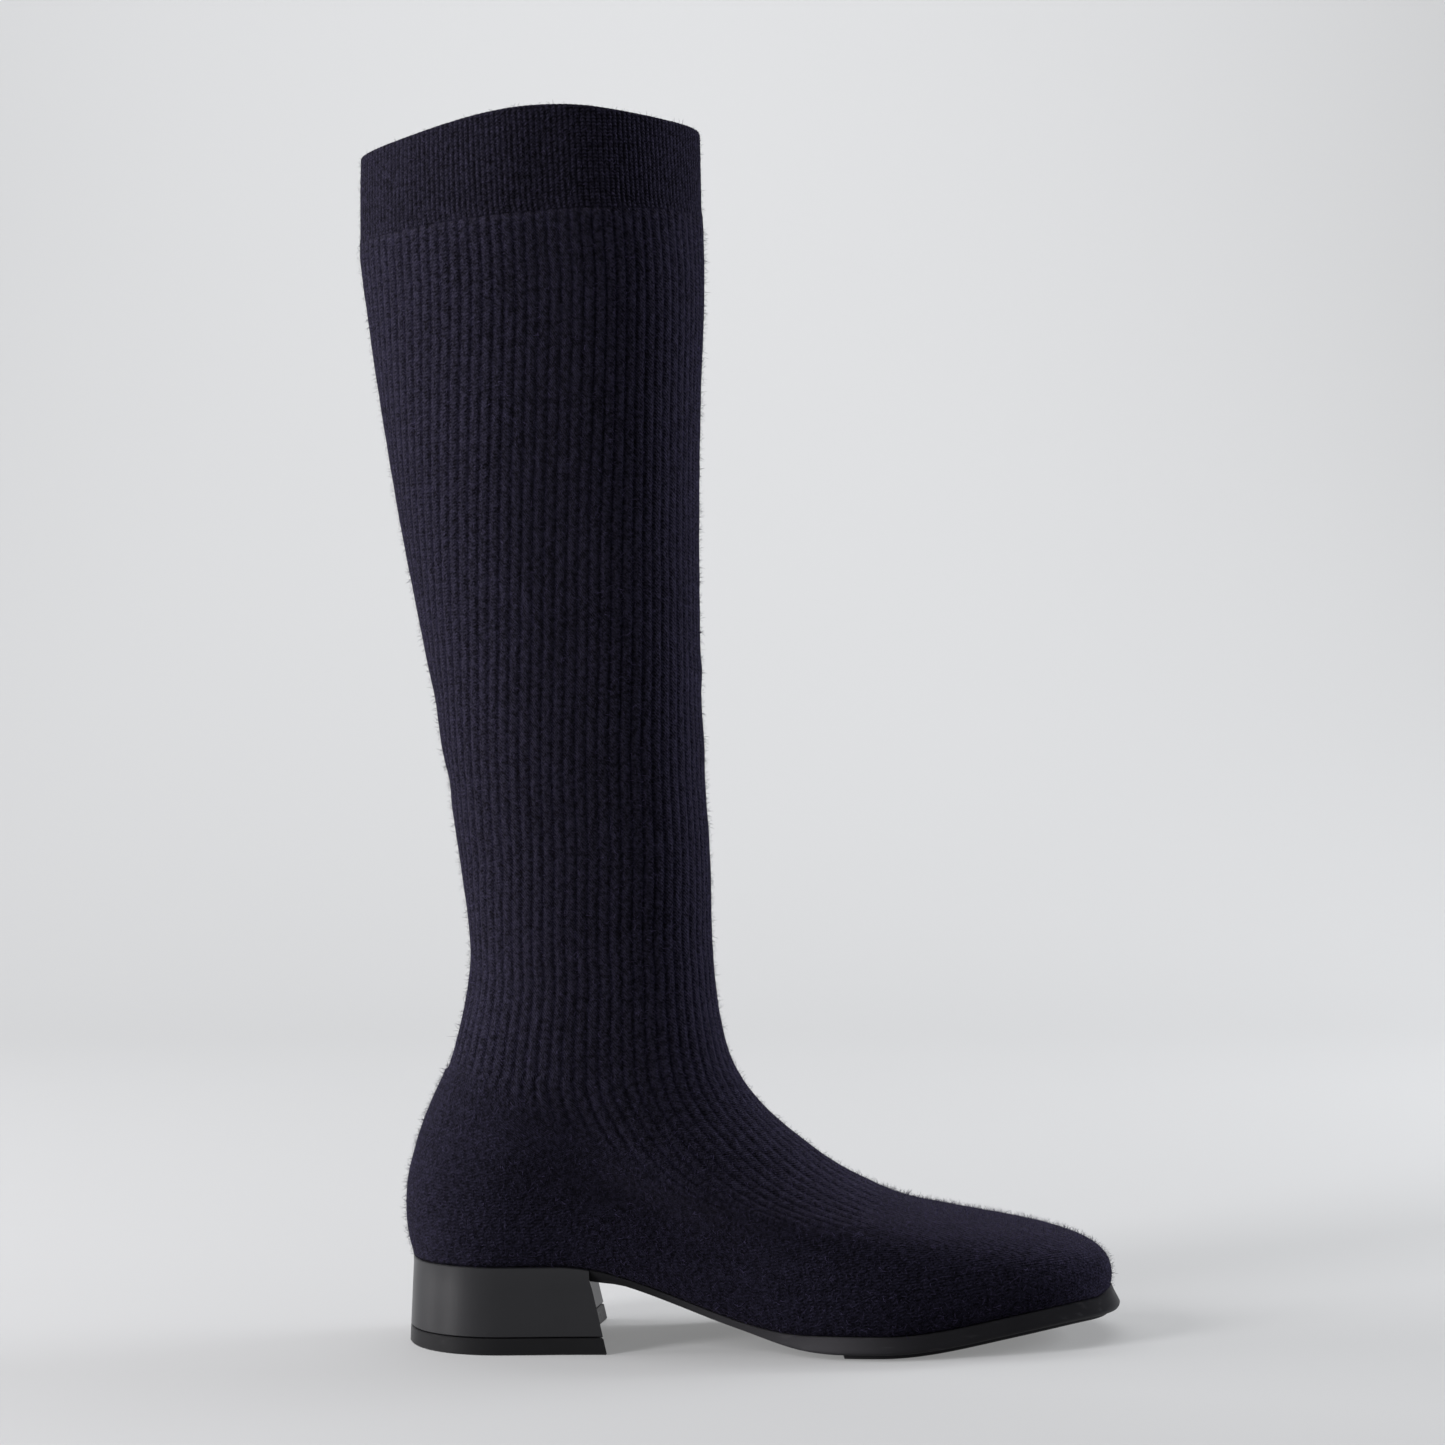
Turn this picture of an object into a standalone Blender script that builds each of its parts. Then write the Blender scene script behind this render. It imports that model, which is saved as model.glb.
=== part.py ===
# Knitted pull-on boot with a low block heel, a right boot.
# X runs from the heel to the toe, Y to the inner side of the foot, Z up, in metres.
# The last is measured from the back of the heel; the finished boot is moved to the middle of its box.

from collections import namedtuple
import math

import bmesh
import bpy
from mathutils import Vector

# Foot and shaft of the last
FOOT_LENGTH = 0.262
BALL_WIDTH = 0.088
ANKLE_HEIGHT = 0.135
ANKLE_FRONT = 0.1144
SHAFT_HEIGHT = 0.309
SHAFT_DEPTH = 0.126
SHAFT_WIDTH = 0.093

# Seat line, on which the upper and the insole stand
HEEL_SEAT = 0.0316
BALL_SEAT = 0.0083
TOE_SPRING = 0.0084

# Knitted wall
KNIT_WALL = 0.0022
CUFF_STEP = 0.0005
COUNTER_STEP = 0.001
COLLAR_ARCH = 0.0049

# Sole
WAIST_THICKNESS = 0.0034
FORE_THICKNESS = 0.0064
SOLE_MARGIN = 0.0008
SOLE_FLARE = 0.0020
WAIST_TUCK = 0.0020
EDGE_ROUND = 0.0014
SIDE_LOW_SHARE = 0.3
PAD_DEPTH = BALL_SEAT - FORE_THICKNESS
PAD_INSET = 0.0026
PAD_ROOT = 0.0006
GROOVE_WIDTH = 0.0024
GROOVE_DEPTH = 0.0012
GROOVE_END = 0.009

# Heel
BREAST_FROM_BACK = 0.0684
BREAST_SLOPE = 0.0066
BREAST_HOLLOW = 0.0045
HEEL_MARGIN = 0.0012
HEEL_FLARE = 0.0012
TOP_LIFT = 0.0060

INSOLE_THICKNESS = 0.003
CLEARANCE = 0.0003
INSOLE_LIFT = 1.5 * CLEARANCE

# Shares of the foot's length along the seat line
ARCH_START_SHARE = 0.215
ARCH_END_SHARE = 0.56
SPRING_START_SHARE = 0.66
SPRING_END_SHARE = 0.96
WAIST_END_SHARE = 0.46
FORE_START_SHARE = 0.60
PAD_START_SHARE = 0.60
GROOVE_SHARES = (0.700, 0.748, 0.796, 0.844, 0.892, 0.938)

# Roundness of a section's ends: 2 is an ellipse, more is squarer
HEEL_ROUNDNESS = 2.15

# Peak of the collar's arch: 1 is a parabola, more is narrower at the top
ARCH_PEAK = 2.3

# Shares of a section's length at which the heel's width starts to grow, and the shaft's back ends
WAIST_START_SHARE = 0.36
SHAFT_HEEL_SHARE = 0.50

# Steps along the foot's outline, shared by every piece so that their facets run side by side
HEEL_STEPS = 7
SOLE_STEPS = 20
SOLE_FIRST_STEP = 1.25
OUTLINE_REACH = 0.002

# Steps across the sole and heel, whose breast is hollow, and across the flatter pieces
BREAST_STEPS = 6
FLAT_STEPS = 2

# Rings of the upper, with a close pair at each raised edge, in table rows
RINGS_PER_SECTION = 2
EDGE_ROW_SHARE = 0.06
COUNTER_EDGE_ROW = 9.9
CUFF_EDGE_ROW = 20

SHARP_ANGLE = 35

Section = namedtuple(
    "Section",
    "front_x front_z back_x back_z half heel heel_run widest back_roundness roundness sag swing crown",
)

# Foot sections from the seat line to the ankle. front and back are shares of the foot's length,
# the rises are shares of the way from the seat line to the ankle, and half is a share of half the
# ball width. heel is the heel's width beside the ball's, heel_run and widest are shares of the
# section's own length. sag is how far the section follows the seat line, and swing how far it
# follows the curve of the last.
FOOT_SECTIONS = (
    # front, rise, back, rise, half, heel, heel_run, widest, roundness, sag, swing
    (1.000, 0.000, 0.019, 0.000, 0.955, 0.68, 0.130, 0.66, 2.45, 1.00, 1.00),
    (1.003, 0.055, 0.013, 0.055, 1.000, 0.69, 0.140, 0.66, 2.45, 0.82, 1.00),
    (0.995, 0.107, 0.009, 0.120, 1.000, 0.70, 0.150, 0.66, 2.40, 0.62, 1.00),
    (0.970, 0.148, 0.008, 0.187, 0.985, 0.71, 0.160, 0.65, 2.35, 0.42, 0.95),
    (0.916, 0.189, 0.009, 0.250, 0.955, 0.73, 0.175, 0.64, 2.25, 0.27, 0.90),
    (0.828, 0.228, 0.012, 0.300, 0.915, 0.77, 0.200, 0.63, 2.20, 0.16, 0.80),
    (0.725, 0.279, 0.017, 0.350, 0.870, 0.82, 0.240, 0.61, 2.15, 0.09, 0.65),
    (0.630, 0.369, 0.024, 0.415, 0.830, 0.88, 0.300, 0.59, 2.10, 0.05, 0.50),
    (0.561, 0.472, 0.035, 0.495, 0.800, 0.93, 0.370, 0.58, 2.10, 0.02, 0.35),
    (0.500, 0.593, 0.049, 0.579, 0.785, 0.97, 0.430, 0.57, 2.10, 0.00, 0.20),
    (0.463, 0.717, 0.064, 0.665, 0.775, 1.00, 0.490, 0.57, 2.10, 0.00, 0.10),
    (0.446, 0.848, 0.080, 0.809, 0.770, 1.00, 0.500, 0.57, 2.10, 0.00, 0.00),
)

# Shaft sections from the ankle to the collar. The rises are shares of the shaft's height, lean is
# how far the front stands behind the ankle's front and depth the length of the section, both as
# shares of the shaft's depth, and half is a share of half the shaft's width. The knit lies flatter
# towards the collar, so that both ends of the sections get sharper there.
SHAFT_SECTIONS = (
    # front rise, back rise, lean, depth, half, widest, roundness, arch
    (0.000, 0.000, 0.000, 0.714, 0.725, 0.57, 2.10, 0.0),
    (0.052, 0.050, 0.008, 0.706, 0.730, 0.57, 2.10, 0.0),
    (0.145, 0.140, 0.014, 0.730, 0.765, 0.58, 2.10, 0.0),
    (0.257, 0.252, 0.033, 0.754, 0.815, 0.58, 2.10, 0.0),
    (0.386, 0.380, 0.042, 0.800, 0.880, 0.59, 2.08, 0.0),
    (0.531, 0.525, 0.045, 0.866, 0.935, 0.59, 2.05, 0.0),
    (0.675, 0.665, 0.041, 0.928, 0.980, 0.60, 1.98, 0.0),
    (0.804, 0.785, 0.030, 0.982, 1.000, 0.60, 1.88, 0.0),
    (0.899, 0.864, 0.033, 1.002, 1.000, 0.60, 1.75, 0.0),
    (1.005, 0.971, 0.038, 0.998, 1.000, 0.60, 1.62, 1.0),
)

# The curve of the last: how far its middle line swings to the inner side, as shares of the ball width
SWING_SHARES = (0.0, 0.22, 0.44, 0.66, 0.85, 1.0)
SWING = (0.0, 0.0, -0.034, -0.022, 0.020, 0.046)


def mix(start, end, share):
    return start + (end - start) * share


def smooth(start, end, value):
    """Rise from 0 to 1 between start and end with level ends."""
    share = min(max((value - start) / (end - start), 0.0), 1.0)
    return share * share * (3.0 - 2.0 * share)


def curve_through(before, start, end, after, share):
    """Smooth curve from start to end whose slope follows its neighbours."""
    rise = (end - before) / 2.0
    run_out = (after - start) / 2.0
    square = share * share
    cube = square * share
    return (
        (2 * cube - 3 * square + 1) * start
        + (cube - 2 * square + share) * rise
        + (3 * square - 2 * cube) * end
        + (cube - square) * run_out
    )


def seat_height(x):
    """Height of the seat line above the floor: level heel, arch, ball and toe spring."""
    share = x / FOOT_LENGTH
    arch = 1.0 - smooth(ARCH_START_SHARE, ARCH_END_SHARE, share)
    spring = smooth(SPRING_START_SHARE, SPRING_END_SHARE, share)
    return BALL_SEAT + (HEEL_SEAT - BALL_SEAT) * arch + TOE_SPRING * spring


def last_swing(x):
    """Sideways place of the last's middle line at x."""
    share = min(max(x / FOOT_LENGTH, SWING_SHARES[0]), SWING_SHARES[-1])
    index = 0
    while index < len(SWING_SHARES) - 2 and share > SWING_SHARES[index + 1]:
        index += 1
    return BALL_WIDTH * mix(
        SWING[index],
        SWING[index + 1],
        smooth(SWING_SHARES[index], SWING_SHARES[index + 1], share),
    )


def foot_section(row):
    front, front_rise, back, back_rise, half, heel, heel_run, widest, roundness, sag, swing = row
    front_x = front * FOOT_LENGTH
    back_x = back * FOOT_LENGTH
    return Section(
        front_x,
        mix(BALL_SEAT + TOE_SPRING, ANKLE_HEIGHT, front_rise),
        back_x,
        mix(HEEL_SEAT, ANKLE_HEIGHT, back_rise),
        half * BALL_WIDTH / 2,
        heel,
        heel_run,
        widest,
        HEEL_ROUNDNESS,
        roundness,
        sag,
        swing,
        0.0,
    )


def shaft_section(row):
    front_rise, back_rise, lean, depth, half, widest, roundness, arch = row
    front_x = ANKLE_FRONT - lean * SHAFT_DEPTH
    return Section(
        front_x,
        ANKLE_HEIGHT + front_rise * SHAFT_HEIGHT,
        front_x - depth * SHAFT_DEPTH,
        ANKLE_HEIGHT + back_rise * SHAFT_HEIGHT,
        half * SHAFT_WIDTH / 2,
        1.0,
        SHAFT_HEEL_SHARE,
        widest,
        roundness,
        roundness,
        0.0,
        0.0,
        COLLAR_ARCH * arch,
    )


SECTIONS = [foot_section(row) for row in FOOT_SECTIONS] + [shaft_section(row) for row in SHAFT_SECTIONS]


def section_at(level):
    """Section at a level counted in table rows, smooth between the rows."""
    index = min(int(level), len(SECTIONS) - 2)
    share = level - index
    rows = [SECTIONS[min(max(index + offset, 0), len(SECTIONS) - 1)] for offset in (-1, 0, 1, 2)]
    values = [curve_through(*column, share) for column in zip(*rows)]
    return Section(*values)


def half_width(section, share):
    """Half the width of a section at a share of its length from the back."""
    rear = 1.0 - min(share / section.heel_run, 1.0)
    fore = max((share - section.widest) / (1.0 - section.widest), 0.0)
    body = mix(section.heel, 1.0, smooth(WAIST_START_SHARE, section.widest, share))
    back_end = max(1.0 - rear**section.back_roundness, 0.0) ** (1.0 / section.back_roundness)
    front_end = max(1.0 - fore**section.roundness, 0.0) ** (1.0 / section.roundness)
    return section.half * body * back_end * front_end


def section_point(section, share, side, step=0.0):
    """Point of a section at a share of its length, on the outer (-1) or inner (+1) side."""
    back_x = section.back_x - step
    front_x = section.front_x + (step if step < 0 else 0.0)
    x = mix(back_x, front_x, share)
    level = mix(seat_height(back_x), seat_height(front_x), share)
    z = mix(section.back_z, section.front_z, share)
    z += section.sag * (seat_height(x) - level) + section.crown * (4 * share * (1 - share)) ** ARCH_PEAK
    widened = section._replace(half=section.half + step * (1 - share))
    y = side * half_width(widened, share) + section.swing * last_swing(x)
    return Vector((x, y, z))


def finish_mesh(name, shape, collection, material):
    """Turn a bmesh into a smooth-shaded object with its faces pointing out."""
    mesh_data = bpy.data.meshes.new(name)
    shape.to_mesh(mesh_data)
    shape.free()
    mesh_data.materials.append(material)
    mesh_data.shade_smooth()
    mesh_data.set_sharp_from_angle(angle=math.radians(SHARP_ANGLE))
    item = bpy.data.objects.new(name, mesh_data)
    collection.objects.link(item)
    return item


def make_material(name, colour, roughness):
    material = bpy.data.materials.new(name)
    material.use_nodes = True
    shader = material.node_tree.nodes["Principled BSDF"]
    shader.inputs["Base Color"].default_value = (*colour, 1.0)
    shader.inputs["Roughness"].default_value = roughness
    shader.inputs["Metallic"].default_value = 0.0
    return material


def upper_levels():
    """Levels of the upper's rings, with a pair of close ones at the counter's edge and the cuff's."""
    last = len(SECTIONS) - 1
    levels = [index / RINGS_PER_SECTION for index in range(last * RINGS_PER_SECTION + 1)]
    for edge in (COUNTER_EDGE_ROW, CUFF_EDGE_ROW):
        levels = [level for level in levels if abs(level - edge) > 3 * EDGE_ROW_SHARE]
        levels += [edge - EDGE_ROW_SHARE, edge + EDGE_ROW_SHARE]
    return sorted(levels)


def wall_step(level):
    """How far the wall stands out at a level: the counter below its edge, the cuff set back."""
    if level < COUNTER_EDGE_ROW:
        return COUNTER_STEP
    if level > CUFF_EDGE_ROW:
        return -CUFF_STEP
    return 0.0


def seat_share(x):
    """Share along the foot's outline at x."""
    section = SECTIONS[0]
    return (x - section.back_x) / (section.front_x - section.back_x)


def heel_turns():
    """Places from the heel's back to the breast, closer together at the back."""
    return [1 - math.cos(math.pi / 2 * step / HEEL_STEPS) for step in range(HEEL_STEPS + 1)]


def sole_turns():
    """Places from the breast to the toe's tip, closer together at the toe."""
    steps = [step / SOLE_STEPS for step in range(SOLE_STEPS + 1)]
    return [SOLE_FIRST_STEP * step * (1 - step) ** 2 + smooth(0.0, 1.0, step) for step in steps]


def outline_turns():
    """Places along the whole outline, from the heel's back to the toe's tip."""
    breast = seat_share(BREAST_FROM_BACK)
    heel = [breast * turn for turn in heel_turns()]
    return heel + [mix(breast, 1.0, turn) for turn in sole_turns()[1:]]


def build_upper(collection, material):
    shape = bmesh.new()
    shares = outline_turns()
    around = [(share, -1) for share in reversed(shares)] + [(share, 1) for share in shares[1:-1]]
    rings = []
    for level in upper_levels():
        section = section_at(level)
        step = wall_step(level)
        points = [section_point(section, share, side, step) for share, side in around]
        rings.append([shape.verts.new(point) for point in points])
    for lower, upper in zip(rings, rings[1:]):
        for index in range(len(around)):
            follow = (index + 1) % len(around)
            shape.faces.new((lower[follow], lower[index], upper[index], upper[follow]))
    item = finish_mesh("upper", shape, collection, material)
    wall = item.modifiers.new("knit wall", "SOLIDIFY")
    wall.thickness = KNIT_WALL
    wall.offset = -1.0
    wall.use_even_offset = True
    return item


def edge_point(share, side, offset):
    """Point of the foot's outline on the seat line, moved outwards by offset."""
    section = SECTIONS[0]
    point = section_point(section, share, side)
    before = section_point(section, max(share - OUTLINE_REACH, 0.0), side)
    after = section_point(section, min(share + OUTLINE_REACH, 1.0), side)
    along = Vector((after.x - before.x, after.y - before.y)).normalized()
    outward = Vector((-along.y, along.x)) * side
    if share <= 0.0 or share >= 1.0:
        outward = Vector((1.0 if share >= 1.0 else -1.0, 0.0))
    return Vector((point.x + outward.x * offset, point.y + outward.y * offset))


Level = namedtuple("Level", "start end offset height")


def slab_rows(level, turns, across, hollow_start, hollow_end):
    """Rows of points of one level, from its start share to its end share.

    offset and height are functions of the place along the foot. A row at the heel's back or the
    toe's tip is one point, and a row near the heel's breast bends back by the hollow.
    """
    rows = []
    for turn in turns:
        share = mix(level.start, level.end, turn)
        hollow = mix(hollow_start, hollow_end, turn)
        offset = level.offset(share)
        outer = edge_point(share, -1, offset)
        inner = edge_point(share, 1, offset)
        if share <= 0.0 or share >= 1.0:
            rows.append([Vector((outer.x, outer.y, level.height(outer.x)))])
            continue
        row = []
        for column in range(across + 1):
            place = column / across
            bend = hollow * (1 - (2 * place - 1) ** 2)
            x = mix(outer.x, inner.x, place) - bend
            row.append(Vector((x, mix(outer.y, inner.y, place), level.height(x))))
        rows.append(row)
    return rows


def rim_of(rows):
    """The points around a level, in order."""
    rim = [row[0] for row in rows]
    rim += rows[-1][1:-1]
    rim += [row[-1] for row in reversed(rows) if len(row) > 1]
    rim += rows[0][-2:0:-1]
    return rim


def cover_rows(shape, rows):
    """Faces between the rows of the top or bottom level."""
    for row, follow in zip(rows, rows[1:]):
        longest = max(len(row), len(follow)) - 1
        for column in range(longest):
            corners = [row[min(column, len(row) - 1)], row[min(column + 1, len(row) - 1)]]
            corners += [follow[min(column + 1, len(follow) - 1)], follow[min(column, len(follow) - 1)]]
            shape.faces.new(list(dict.fromkeys(corners)))


def build_slab(levels, turns, across=BREAST_STEPS, hollow_start=0.0, hollow_end=0.0):
    """Closed slab with the foot's outline, through levels from its top to its bottom."""
    shape = bmesh.new()
    rims = []
    for number, level in enumerate(levels):
        points = slab_rows(level, turns, across, hollow_start, hollow_end)
        if number in (0, len(levels) - 1):
            rows = [[shape.verts.new(point) for point in row] for row in points]
            cover_rows(shape, rows)
            rims.append(rim_of(rows))
        else:
            rims.append([shape.verts.new(point) for point in rim_of(points)])
    for over, under in zip(rims, rims[1:]):
        for index in range(len(over)):
            follow = (index + 1) % len(over)
            shape.faces.new((over[index], over[follow], under[follow], under[index]))
    bmesh.ops.recalc_face_normals(shape, faces=shape.faces)
    return shape


def sole_top(x):
    return seat_height(x) - CLEARANCE


def sole_bottom(x):
    share = x / FOOT_LENGTH
    thickness = mix(WAIST_THICKNESS, FORE_THICKNESS, smooth(WAIST_END_SHARE, FORE_START_SHARE, share))
    return seat_height(x) - thickness


def sole_offset(share):
    """How far the side of the sole stands out from the foot's outline near its lower edge."""
    return SOLE_MARGIN + mix(-WAIST_TUCK, SOLE_FLARE, smooth(WAIST_END_SHARE, FORE_START_SHARE, share))


def sole_levels(start_share):
    def side_low(x):
        return mix(sole_bottom(x), sole_top(x), SIDE_LOW_SHARE)

    return (
        Level(start_share, 1.0, lambda share: SOLE_MARGIN, sole_top),
        Level(start_share, 1.0, sole_offset, side_low),
        Level(start_share, 1.0, lambda share: sole_offset(share) - EDGE_ROUND, sole_bottom),
    )


def build_tread_pad(collection, material):
    """Raised forefoot pad, which is joined to the sole."""
    def pad_offset(share):
        return sole_offset(share) - EDGE_ROUND - PAD_INSET

    levels = (
        Level(PAD_START_SHARE, 1.0, pad_offset, lambda x: sole_bottom(x) + PAD_ROOT),
        Level(PAD_START_SHARE, 1.0, pad_offset, lambda x: sole_bottom(x) - PAD_DEPTH),
    )
    shape = build_slab(levels, sole_turns(), across=FLAT_STEPS)
    return finish_mesh("tread_pad_form", shape, collection, material)


def build_groove_cutter(collection, material):
    """Bars across the forefoot, one for each groove, which ends inside the edge of the sole."""
    shape = bmesh.new()
    for share in GROOVE_SHARES:
        x = share * FOOT_LENGTH
        floor = sole_bottom(x) - PAD_DEPTH
        outer = edge_point(seat_share(x), -1, sole_offset(share) - GROOVE_END)
        inner = edge_point(seat_share(x), 1, sole_offset(share) - GROOVE_END)
        bar = bmesh.ops.create_cube(shape, size=1.0)["verts"]
        bmesh.ops.scale(shape, verts=bar, vec=(GROOVE_WIDTH, inner.y - outer.y, 2 * GROOVE_DEPTH))
        bmesh.ops.translate(shape, verts=bar, vec=(x, (inner.y + outer.y) / 2, floor))
    return finish_mesh("groove_form", shape, collection, material)


def use_cutter(item, cutter, operation):
    cut = item.modifiers.new(cutter.name, "BOOLEAN")
    cut.operation = operation
    cut.object = cutter
    cutter.hide_render = True
    cutter.display_type = "WIRE"


def build_outsole(parts, cutters, material):
    start = seat_share(BREAST_FROM_BACK + CLEARANCE)
    shape = build_slab(sole_levels(start), sole_turns(), hollow_start=BREAST_HOLLOW)
    item = finish_mesh("outsole", shape, parts, material)
    use_cutter(item, build_tread_pad(cutters, material), "UNION")
    use_cutter(item, build_groove_cutter(cutters, material), "DIFFERENCE")
    return item


def heel_level(drop, height):
    """Level of the heel at a share of the way down from the sole's underside to the floor.

    The heel flares towards the floor, and its breast leans forward from under the sole.
    """
    breast = seat_share(BREAST_FROM_BACK + BREAST_SLOPE * drop)
    return Level(0.0, breast, lambda share: HEEL_MARGIN + HEEL_FLARE * drop, height)


def heel_drop(height):
    """Share of the way down at which the heel has a height above the floor."""
    return 1.0 - height / (HEEL_SEAT - WAIST_THICKNESS)


def build_heel_block(collection, material):
    foot = TOP_LIFT + CLEARANCE
    waist = (HEEL_SEAT + foot) / 2
    levels = (
        heel_level(0.0, sole_top),
        heel_level(0.0, lambda x: sole_top(x) - WAIST_THICKNESS),
        heel_level(heel_drop(waist), lambda x: waist),
        heel_level(heel_drop(foot), lambda x: foot),
    )
    shape = build_slab(levels, heel_turns(), hollow_end=BREAST_HOLLOW)
    return finish_mesh("heel_block", shape, collection, material)


def build_top_lift(collection, material):
    levels = (
        heel_level(heel_drop(TOP_LIFT), lambda x: TOP_LIFT),
        heel_level(heel_drop(0.0), lambda x: 0.0),
    )
    shape = build_slab(levels, heel_turns(), hollow_end=BREAST_HOLLOW)
    return finish_mesh("top_lift", shape, collection, material)


def build_insole(collection, material):
    def inside(share):
        return -KNIT_WALL - CLEARANCE

    def underside(x):
        return sole_top(x) + INSOLE_LIFT

    levels = (
        Level(0.0, 1.0, inside, lambda x: underside(x) + INSOLE_THICKNESS),
        Level(0.0, 1.0, inside, underside),
    )
    shape = build_slab(levels, outline_turns(), across=FLAT_STEPS)
    return finish_mesh("insole", shape, collection, material)


def centre_on_origin(items):
    """Move the boot so that the middle of its box stands over the origin."""
    bpy.context.view_layer.update()
    graph = bpy.context.evaluated_depsgraph_get()
    corners = [Vector(corner) for item in items for corner in item.evaluated_get(graph).bound_box]
    middle = [(min(c[axis] for c in corners) + max(c[axis] for c in corners)) / 2 for axis in (0, 1)]
    for item in bpy.data.objects:
        for vertex in item.data.vertices:
            vertex.co.x -= middle[0]
            vertex.co.y -= middle[1]
        item.data.update()
    print("moved by", middle)


def main():
    for item in list(bpy.data.objects):
        bpy.data.objects.remove(item, do_unlink=True)
    parts = bpy.data.collections.new("sweater_boot")
    cutters = bpy.data.collections.new("cutters")
    bpy.context.scene.collection.children.link(parts)
    bpy.context.scene.collection.children.link(cutters)

    knit = make_material("knit", (0.022, 0.018, 0.032), 0.95)
    rubber = make_material("sole rubber", (0.030, 0.030, 0.034), 0.45)
    heel_black = make_material("heel black", (0.012, 0.012, 0.014), 0.25)
    board = make_material("insole board", (0.050, 0.048, 0.050), 0.85)

    items = [
        build_upper(parts, knit),
        build_outsole(parts, cutters, rubber),
        build_heel_block(parts, heel_black),
        build_top_lift(parts, heel_black),
        build_insole(parts, board),
    ]
    centre_on_origin(items)


main()
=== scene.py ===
import math

import bmesh
import bpy
import numpy as np
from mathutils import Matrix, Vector


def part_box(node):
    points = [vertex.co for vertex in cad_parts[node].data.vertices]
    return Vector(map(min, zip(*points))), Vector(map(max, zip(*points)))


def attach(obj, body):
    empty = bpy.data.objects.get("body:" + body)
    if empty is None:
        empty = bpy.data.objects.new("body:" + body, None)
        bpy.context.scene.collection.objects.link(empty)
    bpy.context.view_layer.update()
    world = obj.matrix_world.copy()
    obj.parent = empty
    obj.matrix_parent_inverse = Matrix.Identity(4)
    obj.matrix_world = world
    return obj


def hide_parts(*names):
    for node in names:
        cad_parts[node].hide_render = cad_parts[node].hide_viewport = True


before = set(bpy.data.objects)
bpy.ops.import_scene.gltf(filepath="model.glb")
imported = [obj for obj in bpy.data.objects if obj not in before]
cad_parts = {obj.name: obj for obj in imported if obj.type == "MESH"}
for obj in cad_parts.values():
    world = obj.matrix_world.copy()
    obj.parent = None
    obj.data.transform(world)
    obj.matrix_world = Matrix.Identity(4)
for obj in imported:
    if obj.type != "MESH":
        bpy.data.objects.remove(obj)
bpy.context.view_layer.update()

# Knit sweater boot, a right one seen from its outer side. X runs to the toe, Y to the inner side.

scene = bpy.context.scene
scene.view_settings.view_transform = "Standard"
looks = bpy.data.collections.new("bootLooks")
scene.collection.children.link(looks)


def placed(name, data):  # a new object in the scene
    item = bpy.data.objects.new(name, data)
    looks.objects.link(item)
    return item


# The last, with the same sizes as the solids

lastSizes = {
    "footLength": 0.262,
    "ballWidth": 0.088,
    "ankleHeight": 0.135,
    "ankleFront": 0.1144,
    "shaftHeight": 0.309,
    "shaftDepth": 0.126,
    "shaftWidth": 0.093,
    "heelSeat": 0.0316,
    "ballSeat": 0.0083,
    "toeSpring": 0.0084,
    "arch": (0.215, 0.56),       # shares of the foot's length
    "spring": (0.66, 0.96),
    "waistStart": 0.36,
    "heelRoundness": 2.15,
    "collarArch": 0.0049,
    "archPeak": 2.3,
    "counterStep": 0.001,
    "counterEdge": 9.9,          # levels are counted in table rows
    "cuffEdge": 20.0,
    "cuffStep": 0.0005,
    "ankleLevel": 12,
    "soleMargin": 0.0008,
    "soleFlare": 0.0020,
}

# front, its rise, back, its rise, half, heel, heel run, widest, roundness, sag, swing
footRows = (
    (1.000, 0.000, 0.019, 0.000, 0.955, 0.68, 0.130, 0.66, 2.45, 1.00, 1.00),
    (1.003, 0.055, 0.013, 0.055, 1.000, 0.69, 0.140, 0.66, 2.45, 0.82, 1.00),
    (0.995, 0.107, 0.009, 0.120, 1.000, 0.70, 0.150, 0.66, 2.40, 0.62, 1.00),
    (0.970, 0.148, 0.008, 0.187, 0.985, 0.71, 0.160, 0.65, 2.35, 0.42, 0.95),
    (0.916, 0.189, 0.009, 0.250, 0.955, 0.73, 0.175, 0.64, 2.25, 0.27, 0.90),
    (0.828, 0.228, 0.012, 0.300, 0.915, 0.77, 0.200, 0.63, 2.20, 0.16, 0.80),
    (0.725, 0.279, 0.017, 0.350, 0.870, 0.82, 0.240, 0.61, 2.15, 0.09, 0.65),
    (0.630, 0.369, 0.024, 0.415, 0.830, 0.88, 0.300, 0.59, 2.10, 0.05, 0.50),
    (0.561, 0.472, 0.035, 0.495, 0.800, 0.93, 0.370, 0.58, 2.10, 0.02, 0.35),
    (0.500, 0.593, 0.049, 0.579, 0.785, 0.97, 0.430, 0.57, 2.10, 0.00, 0.20),
    (0.463, 0.717, 0.064, 0.665, 0.775, 1.00, 0.490, 0.57, 2.10, 0.00, 0.10),
    (0.446, 0.848, 0.080, 0.809, 0.770, 1.00, 0.500, 0.57, 2.10, 0.00, 0.00),
)

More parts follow.
